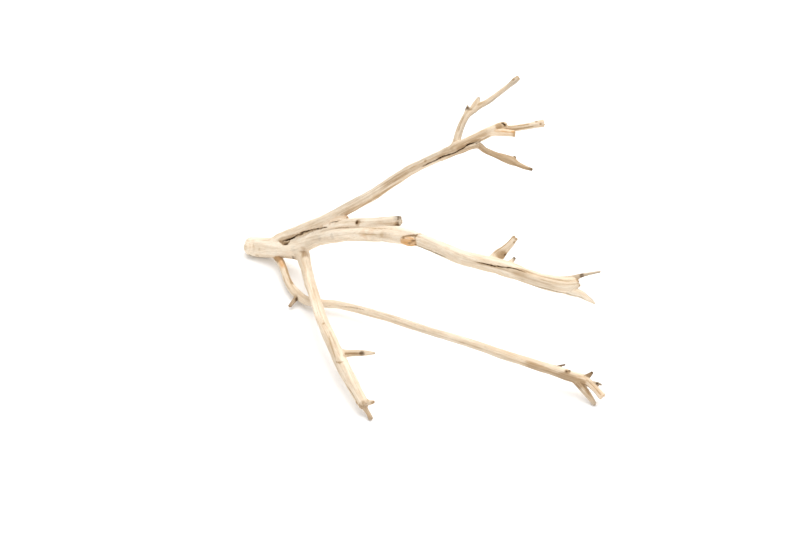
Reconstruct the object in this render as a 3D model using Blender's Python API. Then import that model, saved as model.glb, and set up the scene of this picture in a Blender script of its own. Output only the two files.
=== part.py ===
"""Piece of driftwood: a bare, weathered branch grown as one piece.

It lies on its worn butt and reaches forward on two legs, while two limbs stand clear in the air.
X runs to the right along the limbs, Y away from the viewer and Z up. The surface it lies on is z = 0,
and the origin is under the middle of its outline.
"""

import math
import random

import bmesh
import bpy
import numpy as np

MM = 0.001

# The side that the light has bleached, and from which every angle round a limb is measured.
FRONT = np.array((0.0, -0.82, 0.57))

REST_CUT_DEPTH = 30.0
GRAIN_TWIST = 0.012
RING_SPACING = 9.0
TWIG_SPACING = 6.0
LIMB_SIDES = 11
TWIG_SIDES = 8
SPUR_SIDES = 6
THICK_ABOVE = 4.3
THIN_BELOW = 3.0

# Courses: x, y and z of the middle line and the radius, in millimetres, from root to tip.
TRUNK = [(-14.5, 8, 11.5, 5), (-13, 8, 10.5, 9), (-8, 7, 9.8, 11.3), (2, 5, 10, 11.6), (16, -2, 15.5, 11.2),
         (30, -9, 21.5, 11.2), (41, -15, 26.5, 9.4)]
UPPER_LIMB = [(26, -5, 22, 6.7), (47, -13, 40, 7.2), (70, -29, 62, 6.8), (95, -45, 86, 5.9),
              (142, -65, 129, 5.5), (188, -78, 172, 5.1), (232, -92, 206, 5), (247, -95, 217, 5.2),
              (264, -91, 225, 4.7), (278, -88, 231, 4.7), (290, -85, 235, 4.2)]
TOP_TWIG = [(237, -92, 210, 4.3), (240, -84, 218, 3.9), (245, -74, 230, 3.6), (251, -68, 240, 3.5),
            (259, -62, 244, 3.3), (274, -56, 252, 2.8), (291, -49, 261, 2.2), (298, -46, 265, 2.4),
            (304, -43, 269, 2.8), (308, -41, 271, 2)]
TOP_TWIG_KNOB = [(253, -68, 240, 2.5), (251, -64, 244, 2.6), (251, -59, 248, 1.4)]
TOP_TWIG_SPUR = [(258, -63, 243, 2.6), (261, -57, 248, 2.3), (265, -52, 253, 1.7)]
BROKEN_STUB = [(276, -89, 230, 3.6), (289, -92, 231, 3.4), (302, -95, 231, 2.8)]
STRAIGHT_TWIG = [(282, -85, 232, 3.3), (298, -84, 231, 3), (309, -80, 230, 2.8), (320, -76, 229, 2.8),
                 (328, -74, 230, 3), (335, -73, 231, 3.8)]
LOWER_TWIG = [(222, -91, 199, 3.8), (237, -96, 209, 4.4), (246, -96, 212.5, 4.4), (254, -95, 215, 4.1),
              (263, -93, 215, 3.6), (270, -97, 212, 3.6), (281, -101, 208, 3.6), (292, -105, 205, 4.1),
              (300, -107, 203, 4), (310, -112, 200, 2.6), (320, -116, 198, 1.5)]
LOWER_TWIG_KNOB = [(299, -107, 203, 2.6), (303, -104, 206, 1.8)]
MIDDLE_LIMB = [(32, -12, 22.5, 8.4), (44, -20, 29, 9.2), (59, -28, 39, 8.8), (80, -42, 56, 8.6),
               (119, -82, 90, 8), (157, -120, 116, 8.2), (177, -142, 129, 8.3), (199, -167, 139, 6.8),
               (240, -218, 153, 7.2), (280, -249, 161, 7.8), (320, -277, 164, 7.5), (342, -285, 164, 8),
               (352, -284, 164, 7), (358, -282, 164, 5)]
ARCH_STUB = [(70, -34, 54, 6), (80, -39, 64, 5.4), (100, -55, 84, 5), (119, -73, 99, 5.6),
             (138, -91, 111, 5.7), (156, -106, 121.5, 5.6), (178, -122, 134.5, 4.9)]
ROOT_FLANGE = [(90, -46, 78, 5), (104, -56, 92, 4.6), (118, -63, 99, 3.6)]
TORN_KNOT = [(168, -138, 123, 4), (176, -148, 129, 6), (187, -161, 135.5, 6), (196, -171, 141, 4.6)]
MIDDLE_SPUR = [(273, -236, 158, 6.3), (280, -230, 164, 5.5), (285, -229, 169, 4), (291, -227, 174, 3.4),
               (296, -223, 180, 2.8)]
MIDDLE_NUB = [(288, -250, 162, 4.4), (296, -245, 168.5, 2.4)]
END_TWIG = [(340, -281, 165.5, 4.8), (352, -278, 167, 3.4), (362, -276, 169.5, 2.3), (370, -275, 171, 1.5),
            (381, -273, 172, 1.1)]
END_SPLINTER = [(330, -282, 162, 4), (350, -289, 159, 5), (360, -292, 157.5, 3.9), (367, -297, 155.5, 2.6),
                (374, -302, 153, 1)]
FRONT_LEG = [(30, -10, 20, 9.2), (44, -18, 23.5, 9.4), (55, -30, 25, 8.6), (62, -50, 27, 7.1),
             (70, -86, 28.5, 6.4), (80, -125, 29, 6.1), (88, -162, 28, 6.2), (100, -198, 26, 6.7),
             (111, -230, 23, 6.9), (123, -259, 18, 6.9), (132, -280, 14, 7.2), (138, -293, 11, 6.4)]
FRONT_LEG_FOOT = [(133, -283, 12, 3.6), (139, -296, 5.5, 2.9), (144, -304, 1.2, 2.4)]
FRONT_LEG_SPUR = [(136, -286, 14, 3.5), (144, -289, 15, 2.4), (149, -291, 15, 1.5)]
FRONT_LEG_TWIG = [(110, -220, 24, 4.6), (122, -221, 26, 3.2), (135, -224, 28, 2.7), (148, -227, 30, 1.5)]
FRONT_LEG_NUB = [(52, -28, 23, 3), (47, -34, 21, 1.9)]
LOW_LIMB = [(20, -10, 18, 6), (29, -25, 15, 5.4), (34, -37, 13, 5.2), (45, -68, 9, 5.1), (54, -84, 8, 5.7),
            (67, -100, 9, 5.5), (86, -109, 11, 4.6), (107, -116, 14, 4.3), (154, -144, 20, 4.3),
            (199, -175, 25, 4.5), (247, -201, 27, 4.6), (296, -227, 26, 4.8), (346, -248, 22, 5.2),
            (361, -254, 20, 5.6), (374, -257, 17.5, 5.2)]
ELBOW_STUB = [(56, -92, 8, 3.4), (48, -106, 5, 1.9)]
FOOT_TWIG = [(366, -256, 16.5, 4.2), (377, -268, 9, 3.7), (386, -280, 1.5, 2.7)]
SPLAYED_TWIG = [(364, -254, 19, 4.6), (382, -265, 16, 4.1), (390, -271, 13, 3.8), (395, -279, 10, 2.8)]
UPPER_NUB = [(370, -258, 19, 3.4), (379, -258, 23, 2.8), (385, -255, 26, 1.8)]
SIDE_NUB = [(382, -264, 17, 2.8), (394, -267, 19, 1.7)]
BACK_TWIGLET = [(364, -254, 21, 2.3), (350, -246, 27, 1.4)]

# Each limb with how far its broken end is torn, in millimetres, and its seed.
LIMBS = [
    (TRUNK, 0.0, 1), (UPPER_LIMB, 2.6, 2), (MIDDLE_LIMB, 3.5, 3), (FRONT_LEG, 4.0, 4), (LOW_LIMB, 2.0, 5),
    (TOP_TWIG, 1.2, 6), (TOP_TWIG_KNOB, 0.0, 7), (TOP_TWIG_SPUR, 0.8, 8), (BROKEN_STUB, 2.0, 9),
    (STRAIGHT_TWIG, 2.4, 10), (LOWER_TWIG, 0.0, 11), (LOWER_TWIG_KNOB, 0.6, 12), (ARCH_STUB, 1.8, 13),
    (ROOT_FLANGE, 1.6, 14), (TORN_KNOT, 2.4, 15), (MIDDLE_SPUR, 2.6, 16), (MIDDLE_NUB, 0.8, 17),
    (END_TWIG, 0.0, 18), (END_SPLINTER, 0.0, 19), (FRONT_LEG_FOOT, 0.0, 20), (FRONT_LEG_SPUR, 0.6, 21),
    (FRONT_LEG_TWIG, 0.0, 22), (FRONT_LEG_NUB, 0.6, 23), (ELBOW_STUB, 0.8, 24), (FOOT_TWIG, 0.0, 25),
    (SPLAYED_TWIG, 1.2, 26), (UPPER_NUB, 0.8, 27), (SIDE_NUB, 0.6, 28), (BACK_TWIGLET, 0.5, 29),
]

# Cracks: the limb that splits, and stations of distance from its root, degrees round it above the front,
# half width and depth, in millimetres.
CRACKS = [
    (UPPER_LIMB, [(17, -12, 3.0, 6.0), (27, -10, 1.5, 5.0), (41, -14, 0.9, 4.0), (70, -17, 0.8, 4.0),
                  (87, -42, 0.6, 3.0), (95, -68, 0.25, 2.0)]),
    (UPPER_LIMB, [(243, 0, 0.25, 1.5), (260, -17, 0.6, 3.0), (279, -21, 0.8, 3.6), (298, -44, 0.9, 4.0),
                  (316, -33, 0.9, 3.6), (328, -58, 0.3, 2.0)]),
    (MIDDLE_LIMB, [(351, -6, 0.25, 1.5), (363, -8, 0.6, 3.0), (384, 14, 0.8, 4.0), (401, 28, 0.6, 3.0),
                   (413, 20, 0.25, 1.5)]),
]
# How far a crack's cutter stands out of the wood.
CRACK_PROUD = 3.0

# The pith hole in the upper limb's broken end: where it opens, where it stops, and its radius.
PITH_HOLE = [(294, -86, 239, 1.3), (287, -86, 233, 1.0)]

WOOD_COLOUR = (0.80, 0.66, 0.48, 1.0)
WOOD_ROUGHNESS = 0.85


def start_empty():
    """Clears the scene's objects."""
    for obj in list(bpy.data.objects):
        bpy.data.objects.remove(obj, do_unlink=True)


def smooth_course(stations, spacing):
    """Rows of x, y, z and radius along one smooth curve through the stations, about `spacing` apart."""
    points = np.array(stations, float)
    first = 2 * points[0] - points[1]
    last = 2 * points[-1] - points[-2]
    points = np.vstack((first, points, last))
    rows = []
    for before, start, end, after in zip(points, points[1:], points[2:], points[3:]):
        count = max(1, round(np.linalg.norm(end[:3] - start[:3]) / spacing))
        reach = np.linalg.norm(end[:3] - start[:3])
        lead_in = (end - before) * reach / (reach + np.linalg.norm(start[:3] - before[:3]))
        lead_out = (after - start) * reach / (reach + np.linalg.norm(after[:3] - end[:3]))
        for step in range(count):
            t = step / count
            rows.append((2 * t**3 - 3 * t**2 + 1) * start + (t**3 - 2 * t**2 + t) * lead_in
                        + (3 * t**2 - 2 * t**3) * end + (t**3 - t**2) * lead_out)
    rows.append(points[-2])
    return np.array(rows)


def directions(course):
    """Unit vectors at each row: along the limb, across it to the front, and across it upwards."""
    along = np.gradient(course[:, :3], axis=0)
    along /= np.linalg.norm(along, axis=1)[:, None]
    front = FRONT - (along @ FRONT)[:, None] * along
    front /= np.linalg.norm(front, axis=1)[:, None]
    return along, front, np.cross(front, along)


def travelled(course):
    """Distance along the course at each row, in millimetres."""
    steps = np.linalg.norm(np.diff(course[:, :3], axis=0), axis=1)
    return np.concatenate(((0.0,), np.cumsum(steps)))


def grain_ridges(angle, distance, seed):
    """The share by which weathered ridges and hollows that run with the grain change a limb's radius."""
    turn = angle + GRAIN_TWIST * distance
    return (1 + 0.045 * np.cos(2 * turn + seed) + 0.035 * np.cos(3 * turn + 2.3 * seed)
            + 0.02 * np.cos(5 * turn + 1.7 * seed) + 0.02 * np.sin(distance / 9 + seed))


def mesh_object(name, points, faces):
    """A triangle mesh object with its faces outwards, from points in millimetres."""
    mesh = bpy.data.meshes.new(name)
    mesh.from_pydata([tuple(point * MM) for point in points], [], faces)
    shape = bmesh.new()
    shape.from_mesh(mesh)
    bmesh.ops.triangulate(shape, faces=shape.faces[:])
    bmesh.ops.recalc_face_normals(shape, faces=shape.faces[:])
    shape.to_mesh(mesh)
    shape.free()
    obj = bpy.data.objects.new(name, mesh)
    bpy.context.scene.collection.objects.link(obj)
    return obj


def rings_to_object(name, rings, root_point, tip_point):
    """A closed tube through rings of equally many points, with a fan of faces at each end."""
    count, sides = rings.shape[:2]
    points = [*rings.reshape(-1, 3), root_point, tip_point]
    root, tip = count * sides, count * sides + 1
    faces = []
    for ring in range(count - 1):
        for side in range(sides):
            here, beside = ring * sides + side, ring * sides + (side + 1) % sides
            faces.append((here, beside, beside + sides, here + sides))
    for side in range(sides):
        beside = (side + 1) % sides
        faces.append((root, beside, side))
        faces.append((tip, root - sides + side, root - sides + beside))
    return mesh_object(name, points, faces)


def limb(name, stations, torn, seed):
    """One limb or twig: a tapering tube with grain ridges, and a domed or a torn end."""
    thickest = max(station[3] for station in stations)
    sides = LIMB_SIDES if thickest > THICK_ABOVE else TWIG_SIDES if thickest > THIN_BELOW else SPUR_SIDES
    course = smooth_course(stations, RING_SPACING if thickest > THICK_ABOVE else TWIG_SPACING)
    along, front, upward = directions(course)
    angle = np.arange(sides) * math.tau / sides
    radius = course[:, 3:4] * grain_ridges(angle, travelled(course)[:, None], seed)
    rings = (course[:, None, :3] + (radius * np.cos(angle))[..., None] * front[:, None]
             + (radius * np.sin(angle))[..., None] * upward[:, None])
    root_point = course[0, :3] - 0.3 * course[0, 3] * along[0]
    if torn:
        draw = random.Random(seed)
        pushes = np.array([draw.uniform(-0.35, 1.0) for _ in range(sides)]) * torn
        rings[-1] += pushes[:, None] * along[-1]
        tip_point = course[-1, :3] - 0.3 * torn * along[-1]
    else:
        tip_point = course[-1, :3] + 0.5 * course[-1, 3] * along[-1]
    return rings_to_object(name, rings, root_point, tip_point)


def crack_blade(name, stations, marks):
    """A thin wedge that follows a limb's surface, to cut a crack that is wide at the surface."""
    course = smooth_course(stations, TWIG_SPACING)
    _, front, upward = directions(course)
    distance = travelled(course)
    marks = np.array(marks)
    inside = distance[(distance > marks[0, 0] + 1) & (distance < marks[-1, 0] - 1)]
    places = np.concatenate(((marks[0, 0],), inside, (marks[-1, 0],)))
    degrees, half_width, depth = (np.interp(places, marks[:, 0], marks[:, k]) for k in (1, 2, 3))
    rings = []
    for place, turn, half, deep in zip(places, np.radians(degrees), half_width, depth):
        centre = np.array([np.interp(place, distance, course[:, k]) for k in range(3)])
        radius = np.interp(place, distance, course[:, 3])
        to_front = np.array([np.interp(place, distance, front[:, k]) for k in range(3)])
        to_top = np.array([np.interp(place, distance, upward[:, k]) for k in range(3)])
        outward = math.cos(turn) * to_front + math.sin(turn) * to_top
        sideways = math.cos(turn) * to_top - math.sin(turn) * to_front
        mouth = centre + (radius + CRACK_PROUD) * outward
        bottom = centre + (radius - deep) * outward
        rings.append((mouth + 1.6 * half * sideways, mouth - 1.6 * half * sideways,
                      bottom - 0.25 * half * sideways, bottom + 0.25 * half * sideways))
    rings = np.array(rings)
    return rings_to_object(name, rings, rings[0].mean(axis=0), rings[-1].mean(axis=0))


def combine(base, tools, operation):
    """Applies one Boolean on a collection of tools to the base, and removes the tools."""
    group = bpy.data.collections.new("tools")
    for tool in tools:
        group.objects.link(tool)
    boolean = base.modifiers.new(operation.lower(), "BOOLEAN")
    boolean.operation = operation
    boolean.operand_type = "COLLECTION"
    boolean.collection = group
    boolean.solver = "EXACT"
    bpy.context.view_layer.update()
    evaluated = base.evaluated_get(bpy.context.evaluated_depsgraph_get())
    mesh = bpy.data.meshes.new_from_object(evaluated)
    base.modifiers.remove(boolean)
    base.data = mesh
    for tool in tools:
        bpy.data.objects.remove(tool, do_unlink=True)
    bpy.data.collections.remove(group)


def block_below_surface():
    """A block whose top is the surface, to cut the flats that the branch rests on."""
    half = 500.0
    corners = [(x, y, z) for z in (-REST_CUT_DEPTH, 0) for y in (-half, half) for x in (-half, half)]
    faces = [(0, 1, 3, 2), (4, 6, 7, 5), (0, 4, 5, 1), (2, 3, 7, 6), (0, 2, 6, 4), (1, 5, 7, 3)]
    return mesh_object("surface_block", np.array(corners, float), faces)


def centre_outline(branch):
    """Moves the branch along the surface, so that the origin is under the middle of its outline."""
    for axis in (0, 1):
        places = [vertex.co[axis] for vertex in branch.data.vertices]
        middle = (min(places) + max(places)) / 2
        for vertex in branch.data.vertices:
            vertex.co[axis] -= middle


def wood():
    """Pale, dry, bleached wood."""
    material = bpy.data.materials.new("weathered_wood")
    material.use_nodes = True
    shader = material.node_tree.nodes["Principled BSDF"]
    shader.inputs["Base Color"].default_value = WOOD_COLOUR
    shader.inputs["Roughness"].default_value = WOOD_ROUGHNESS
    shader.inputs["Metallic"].default_value = 0.0
    return material


def main():
    """Builds the branch."""
    start_empty()
    grown = [limb(f"limb_{seed}", stations, torn, seed) for stations, torn, seed in LIMBS]
    branch = grown[0]
    combine(branch, grown[1:], "UNION")
    cutters = [crack_blade(f"crack_{index}", stations, marks) for index, (stations, marks) in enumerate(CRACKS)]
    cutters.append(limb("pith_hole", PITH_HOLE, 0.0, 30))
    cutters.append(block_below_surface())
    combine(branch, cutters, "DIFFERENCE")
    centre_outline(branch)
    branch.name = "driftwood"
    branch.data.name = "driftwood"
    branch.data.materials.clear()
    branch.data.materials.append(wood())
    branch.data.shade_smooth()
    branch.data.set_sharp_from_angle(angle=math.radians(35))


main()
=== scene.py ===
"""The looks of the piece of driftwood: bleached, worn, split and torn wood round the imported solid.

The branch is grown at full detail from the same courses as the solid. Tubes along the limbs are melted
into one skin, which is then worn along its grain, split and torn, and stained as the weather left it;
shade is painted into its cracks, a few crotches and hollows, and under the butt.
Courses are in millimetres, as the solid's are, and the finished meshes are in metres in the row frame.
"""

import logging
import math
from collections.abc import Iterable, Sequence
from dataclasses import dataclass, field
from enum import Enum

import bmesh
import bpy
import numpy as np
from mathutils import Euler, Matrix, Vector


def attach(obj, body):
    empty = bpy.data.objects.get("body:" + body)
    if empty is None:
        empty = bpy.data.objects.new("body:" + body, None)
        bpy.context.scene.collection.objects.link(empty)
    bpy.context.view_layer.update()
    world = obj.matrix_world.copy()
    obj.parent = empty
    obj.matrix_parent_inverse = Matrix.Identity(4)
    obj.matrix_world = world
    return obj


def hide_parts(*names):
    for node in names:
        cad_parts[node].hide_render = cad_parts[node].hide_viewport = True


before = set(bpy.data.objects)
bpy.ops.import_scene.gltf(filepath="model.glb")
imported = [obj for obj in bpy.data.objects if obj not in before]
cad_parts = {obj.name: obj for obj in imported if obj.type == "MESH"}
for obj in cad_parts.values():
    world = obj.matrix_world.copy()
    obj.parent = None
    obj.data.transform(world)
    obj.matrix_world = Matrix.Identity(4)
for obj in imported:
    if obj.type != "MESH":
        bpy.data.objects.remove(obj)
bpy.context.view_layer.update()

Station = tuple[float, float, float, float]
Colour = tuple[float, float, float]
Numbers = np.ndarray

MM = 0.001
NODE = "driftwood"
BODY = "root"

# The side that the light has bleached, and from which every angle round a limb is measured.
FRONT = np.array((0.0, -0.82, 0.57))
# The middle of the solid's outline, which is the row frame's origin.
OUTLINE_MIDDLE = np.array((190.262, -143.739, 0.0))

GRAIN_TWIST = 0.012
FAR = 1000.0

log = logging.getLogger("driftwood")


class Ending(Enum):
    """How a limb ends."""

    WORN = "worn"
    TORN = "torn"


class StainAndShade(Enum):
    """What colours the bleached wood, where it is stained and where shade is painted; the value is its place in the
    attribute that carries both.
    """

    BROWN = 0
    GREY = 1
    ORANGE = 2
    DARK = 3


def lattice_noise(points: Numbers, seed: int) -> Numbers:
    """Smooth noise that swells once a unit.

    Args:
        points: Rows of x, y and z.
        seed: Picks one of many fields of noise.

    Returns:
        A number from -1 to 1 for each row.
    """
    cell = np.floor(points).astype(np.int64)
    part = points - cell
    part = part * part * (3 - 2 * part)
    total = np.zeros(len(points))
    for corner in range(8):
        step = np.array((corner & 1, corner >> 1 & 1, corner >> 2 & 1))
        key = (cell + step) @ np.array((73856093, 19349663, 83492791)) + seed * 2654435761
        key = (key ^ (key >> 15)) * 668265263
        key = (key ^ (key >> 13)) * 1274126177
        weight = np.where(step, part, 1 - part).prod(axis=1)
        total += weight * ((key >> 16 & 0xFFFF) / 32767.5 - 1)
    return total


def melt(first: Numbers, second: Numbers, fillet: float) -> Numbers:
    """The distance to two skins joined with a fillet, from the distance to each."""
    near = np.maximum(fillet - np.abs(first - second), 0) / fillet
    return np.minimum(first, second) - near * near * fillet / 4


def ease(share: Numbers) -> Numbers:
    """Goes smoothly from 0 to 1 as the share does, and stays there."""
    held = np.clip(share, 0, 1)
    return held * held * (3 - 2 * held)


def wrapped(angle: Numbers) -> Numbers:
    """The same angle between half a turn back and half a turn on."""
    return (angle + math.pi) % math.tau - math.pi


def vertex_normals(points: Numbers, triangles: Numbers) -> Numbers:
    """Unit normals of a closed skin of triangles, weighted by their areas."""
    corners = points[triangles]
    faces = np.cross(corners[:, 1] - corners[:, 0], corners[:, 2] - corners[:, 0])
    total = np.zeros_like(points)
    for axis in range(3):
        for corner in range(3):
            total[:, axis] += np.bincount(triangles[:, corner], faces[:, axis], len(points))
    return total / np.maximum(np.linalg.norm(total, axis=1), 1e-12)[:, None]


def smooth_rows(stations: Sequence[Sequence[float]], spacing: float) -> Numbers:
    """Rows along one smooth curve through the stations, which start with x, y and z."""
    points = np.array(stations, float)
    points = np.vstack((2 * points[0] - points[1], points, 2 * points[-1] - points[-2]))
    rows = []
    for before, start, end, after in zip(points, points[1:], points[2:], points[3:]):
        reach = np.linalg.norm(end[:3] - start[:3])
        lead_in = (end - before) * reach / (reach + np.linalg.norm(start[:3] - before[:3]))
        lead_out = (after - start) * reach / (reach + np.linalg.norm(after[:3] - end[:3]))
        count = max(1, round(reach / spacing))
        for step in range(count):
            t = step / count
            rows.append((2 * t**3 - 3 * t**2 + 1) * start + (t**3 - 2 * t**2 + t) * lead_in
                        + (3 * t**2 - 2 * t**3) * end + (t**3 - t**2) * lead_out)
    rows.append(points[-2])
    return np.array(rows)


def beside(points: Numbers, rows: Numbers, reach: float) -> tuple[Numbers, Numbers, Numbers]:
    """Which points lie near a line.

    Args:
        points: Rows of x, y and z.
        rows: Rows along the line, which start with x, y and z.
        reach: How near a point has to be.

    Returns:
        The indexes of the near points, how far aside of the line each is, and the index of its nearest row.
    """
    line = rows[:, :3]
    index = np.flatnonzero(((points > line.min(0) - reach) & (points < line.max(0) + reach)).all(axis=1))
    square = (line**2).sum(axis=1)
    nearest = np.concatenate([(square - 2 * part @ line.T).argmin(axis=1)
                              for part in np.array_split(points[index], len(index) // 20000 + 1)])
    along = np.gradient(line, axis=0)
    step = np.linalg.norm(along, axis=1)
    along = along / step[:, None]
    offset = points[index] - line[nearest]
    slide = np.clip((offset * along[nearest]).sum(axis=1), -step[nearest], step[nearest])
    aside = np.linalg.norm(offset - slide[:, None] * along[nearest], axis=1)
    near = aside < reach
    return index[near], aside[near], nearest[near]


@dataclass
class Places:
    """Where some points lie on one limb."""

    index: Numbers
    along: Numbers
    angle: Numbers
    spread: Numbers
    beyond: Numbers
    flatness: Numbers
    radius: Numbers
    steepness: Numbers
    outward: Numbers

    def across(self, scale: float) -> Numbers:
        """The points in the limb's own straightened wood: two ways across it, in units of scale, and along."""
        return np.stack((self.spread * np.cos(self.angle) / scale,
                         self.spread * np.sin(self.angle) / scale, self.along), axis=1)


@dataclass
class Limb:
    """One limb or twig along a smooth course."""

    name: str
    stations: Sequence[Station]
    seed: int
    torn: float = 0.0
    fillet: float = 2.5
    brown: float = 0.15
    grey: float = 0.1
    orange: float = 0.0
    dark: float = 0.0
    tip: tuple[StainAndShade, float, float] | None = None
    spacing: float = 0.8
    reach: float = 7.0
    worn_tip: float = 0.5
    worn_root: float = 0.3
    offset: float = 0.0
    course: Numbers = field(init=False)

    def __post_init__(self) -> None:
        """Samples the course finely and finds its directions."""
        self.course = smooth_rows(self.stations, self.spacing)
        self.centre, self.radius = self.course[:, :3], self.course[:, 3]
        along = np.gradient(self.centre, axis=0)
        self.along = along / np.linalg.norm(along, axis=1)[:, None]
        front = FRONT - (self.along @ FRONT)[:, None] * self.along
        self.front = front / np.linalg.norm(front, axis=1)[:, None]
        self.upward = np.cross(self.front, self.along)
        steps = np.linalg.norm(np.diff(self.centre, axis=0), axis=1)
        self.distance = np.concatenate(((0.0,), np.cumsum(steps)))
        self.length = self.distance[-1]
        self.steepness = 1 / np.hypot(1, np.gradient(self.radius, self.distance))

    @property
    def ending(self) -> Ending:
        """How the limb ends."""
        return Ending.TORN if self.torn else Ending.WORN

    def tube_rows(self) -> Numbers:
        """The course with what rounds its root and tip off, for a tube close to the finished limb."""
        steps = np.array((0.35, 0.65, 0.85, 0.97))
        narrowing = np.sqrt(1 - steps**2)
        root = [(*(self.centre[0] - self.along[0] * self.radius[0] * self.worn_root * step),
                 self.radius[0] * narrow) for step, narrow in zip(steps, narrowing)]
        if self.ending is Ending.TORN:
            tip = [(*(self.centre[-1] + self.along[-1] * self.torn * 0.4), self.radius[-1])]
        else:
            tip = [(*(self.centre[-1] + self.along[-1] * self.radius[-1] * self.worn_tip * step),
                    self.radius[-1] * narrow) for step, narrow in zip(steps, narrowing)]
        return np.vstack((root[::-1], self.course, tip))

    def locate(self, points: Numbers) -> Places:
        """Finds the points near the limb and where they lie on it.

        Args:
            points: Rows of x, y and z in millimetres.

        Returns:
            The places of those points that are within reach of the limb's skin.
        """
        margin = self.radius.max() + self.reach
        inside = (points > self.centre.min(0) - margin) & (points < self.centre.max(0) + margin)
        index = np.flatnonzero(inside.all(axis=1))
        near = points[index]
        nearest = np.empty(len(near), np.int64)
        square = (self.centre**2).sum(axis=1).astype(np.float32)
        doubled = (2 * self.centre.T).astype(np.float32)
        for start in range(0, len(near), 20000):
            rows = slice(start, start + 20000)
            nearest[rows] = (square - near[rows].astype(np.float32) @ doubled).argmin(axis=1)
        offset = near - self.centre[nearest]
        close = np.linalg.norm(offset, axis=1) < self.radius[nearest] + self.reach
        index, nearest, offset = index[close], nearest[close], offset[close]
        slide = (offset * self.along[nearest]).sum(axis=1)
        sideways = offset - slide[:, None] * self.along[nearest]
        spread = np.linalg.norm(sideways, axis=1)
        last = nearest == len(self.centre) - 1
        past_tip = np.where(last, np.maximum(slide, 0), 0)
        past_root = np.where(nearest == 0, np.maximum(-slide, 0), 0)
        slide = np.clip(slide, np.where(nearest == 0, -FAR, -self.spacing), np.where(last, FAR, self.spacing))
        along = self.distance[nearest] + slide
        angle = np.arctan2((sideways * self.upward[nearest]).sum(axis=1),
                           (sideways * self.front[nearest]).sum(axis=1))
        return Places(index, along, angle, spread, past_tip + past_root,
                      np.where(past_root > 0, self.worn_root, self.worn_tip),
                      np.interp(along, self.distance, self.radius), self.steepness[nearest],
                      sideways / np.maximum(spread, 1e-9)[:, None])

    def ridges(self, places: Places) -> Numbers:
        """The share by which ridges and hollows that run with the grain change the radius."""
        turn = places.angle + GRAIN_TWIST * places.along
        return (0.045 * np.cos(2 * turn + self.seed) + 0.035 * np.cos(3 * turn + 2.3 * self.seed)
                + 0.02 * np.cos(5 * turn + 1.7 * self.seed) + 0.02 * np.sin(places.along / 9 + self.seed))

    def flutes(self, places: Places) -> Numbers:
        """Finer ridges and a general unevenness, in millimetres."""
        size = np.minimum(places.radius / 8, 1)
        fine = lattice_noise(places.across(1.9) * (1, 1, 1 / 34), self.seed)
        finer = lattice_noise(places.across(1.0) * (1, 1, 1 / 20), self.seed + 40)
        lumps = lattice_noise(places.across(6.5) * (1, 1, 1 / 9), self.seed + 80)
        return size * (0.30 * fine + 0.16 * finer + 0.45 * lumps)

    def broken_face(self, places: Places) -> Numbers:
        """How far the torn end reaches past the course's end at each place, in millimetres."""
        coarse = lattice_noise(places.across(1.7) * (1, 1, 0), self.seed + 120)
        fine = lattice_noise(places.across(0.7) * (1, 1, 0), self.seed + 160)
        rim = ease(places.spread / places.radius) - 0.5
        return self.torn * (0.55 * coarse + 0.35 * fine + 0.35 * rim)

    def skin_gap(self, places: Places) -> Numbers:
        """The distance from the limb's own skin, below nought inside it, in millimetres."""
        radius = np.maximum(places.radius * (1 + self.ridges(places)) + self.flutes(places), 0.4)
        beyond = places.beyond
        if self.ending is Ending.TORN:
            beyond = np.where(places.along > 0, 0, beyond)
        share = np.hypot(places.spread / radius, beyond / (radius * places.flatness))
        slope = np.hypot(places.spread / radius**2, beyond / (radius * places.flatness)**2)
        gap = np.where(beyond > 0, share * (share - 1) / np.maximum(slope, 1e-9),
                       (places.spread - radius) * places.steepness)
        if self.ending is Ending.TORN:
            past_end = places.along - self.length - self.broken_face(places)
            gap = -melt(-gap, -past_end, 0.5)
        return gap


@dataclass(frozen=True)
class Split:
    """A split, seam, wrinkle or scar near the skin, which in one hollow carries painted shade: stations of x, y, z,
    half width and depth.
    """

    stations: Sequence[tuple[float, float, float, float, float]]
    stain_and_shade: StainAndShade = StainAndShade.DARK
    strength: float = 0.0
    fade: float = 3.0
    spacing: float = 0.5
    spill: float = 1.6

    def rows(self) -> Numbers:
        """Rows of x, y, z, half width and depth along the split, which wanders and closes at both ends."""
        rows = smooth_rows(self.stations, self.spacing)
        along = np.arange(len(rows)) * self.spacing
        line = np.stack((along / 5, 0 * along, 0 * along), axis=1)
        for axis in range(3):
            rows[:, axis] += 0.35 * lattice_noise(line, 7 + axis)
        closing = ease(along / self.fade) * ease((along[-1] - along) / self.fade)
        rows[:, 3] *= closing * (1 + 0.3 * lattice_noise(2.3 * line, 11))
        rows[:, 4] *= closing
        return rows


@dataclass(frozen=True)
class Streak:
    """A stained band along the grain, or in a few places a band of painted shade, which may be a groove, or a ridge
    where its depth is below nought.
    """

    limb: str
    path: Sequence[tuple[float, float]]
    half_width: float
    stain_and_shade: StainAndShade
    strength: float
    depth: float = 0.0
    fade: float = 6.0


@dataclass(frozen=True)
class Spot:
    """A knot, bud, scar or pit, and at one crotch a patch of painted shade: a bump where its height is above nought.
    """

    limb: str
    along: float
    degrees: float
    radius: float
    height: float
    stain_and_shade: StainAndShade
    strength: float


@dataclass
class LimbGroup:
    """Limbs and twigs that belong together, and what marks them."""

    limbs: list[Limb] = field(default_factory=list)
    splits: list[Split] = field(default_factory=list)
    streaks: list[Streak] = field(default_factory=list)
    spots: list[Spot] = field(default_factory=list)


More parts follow.
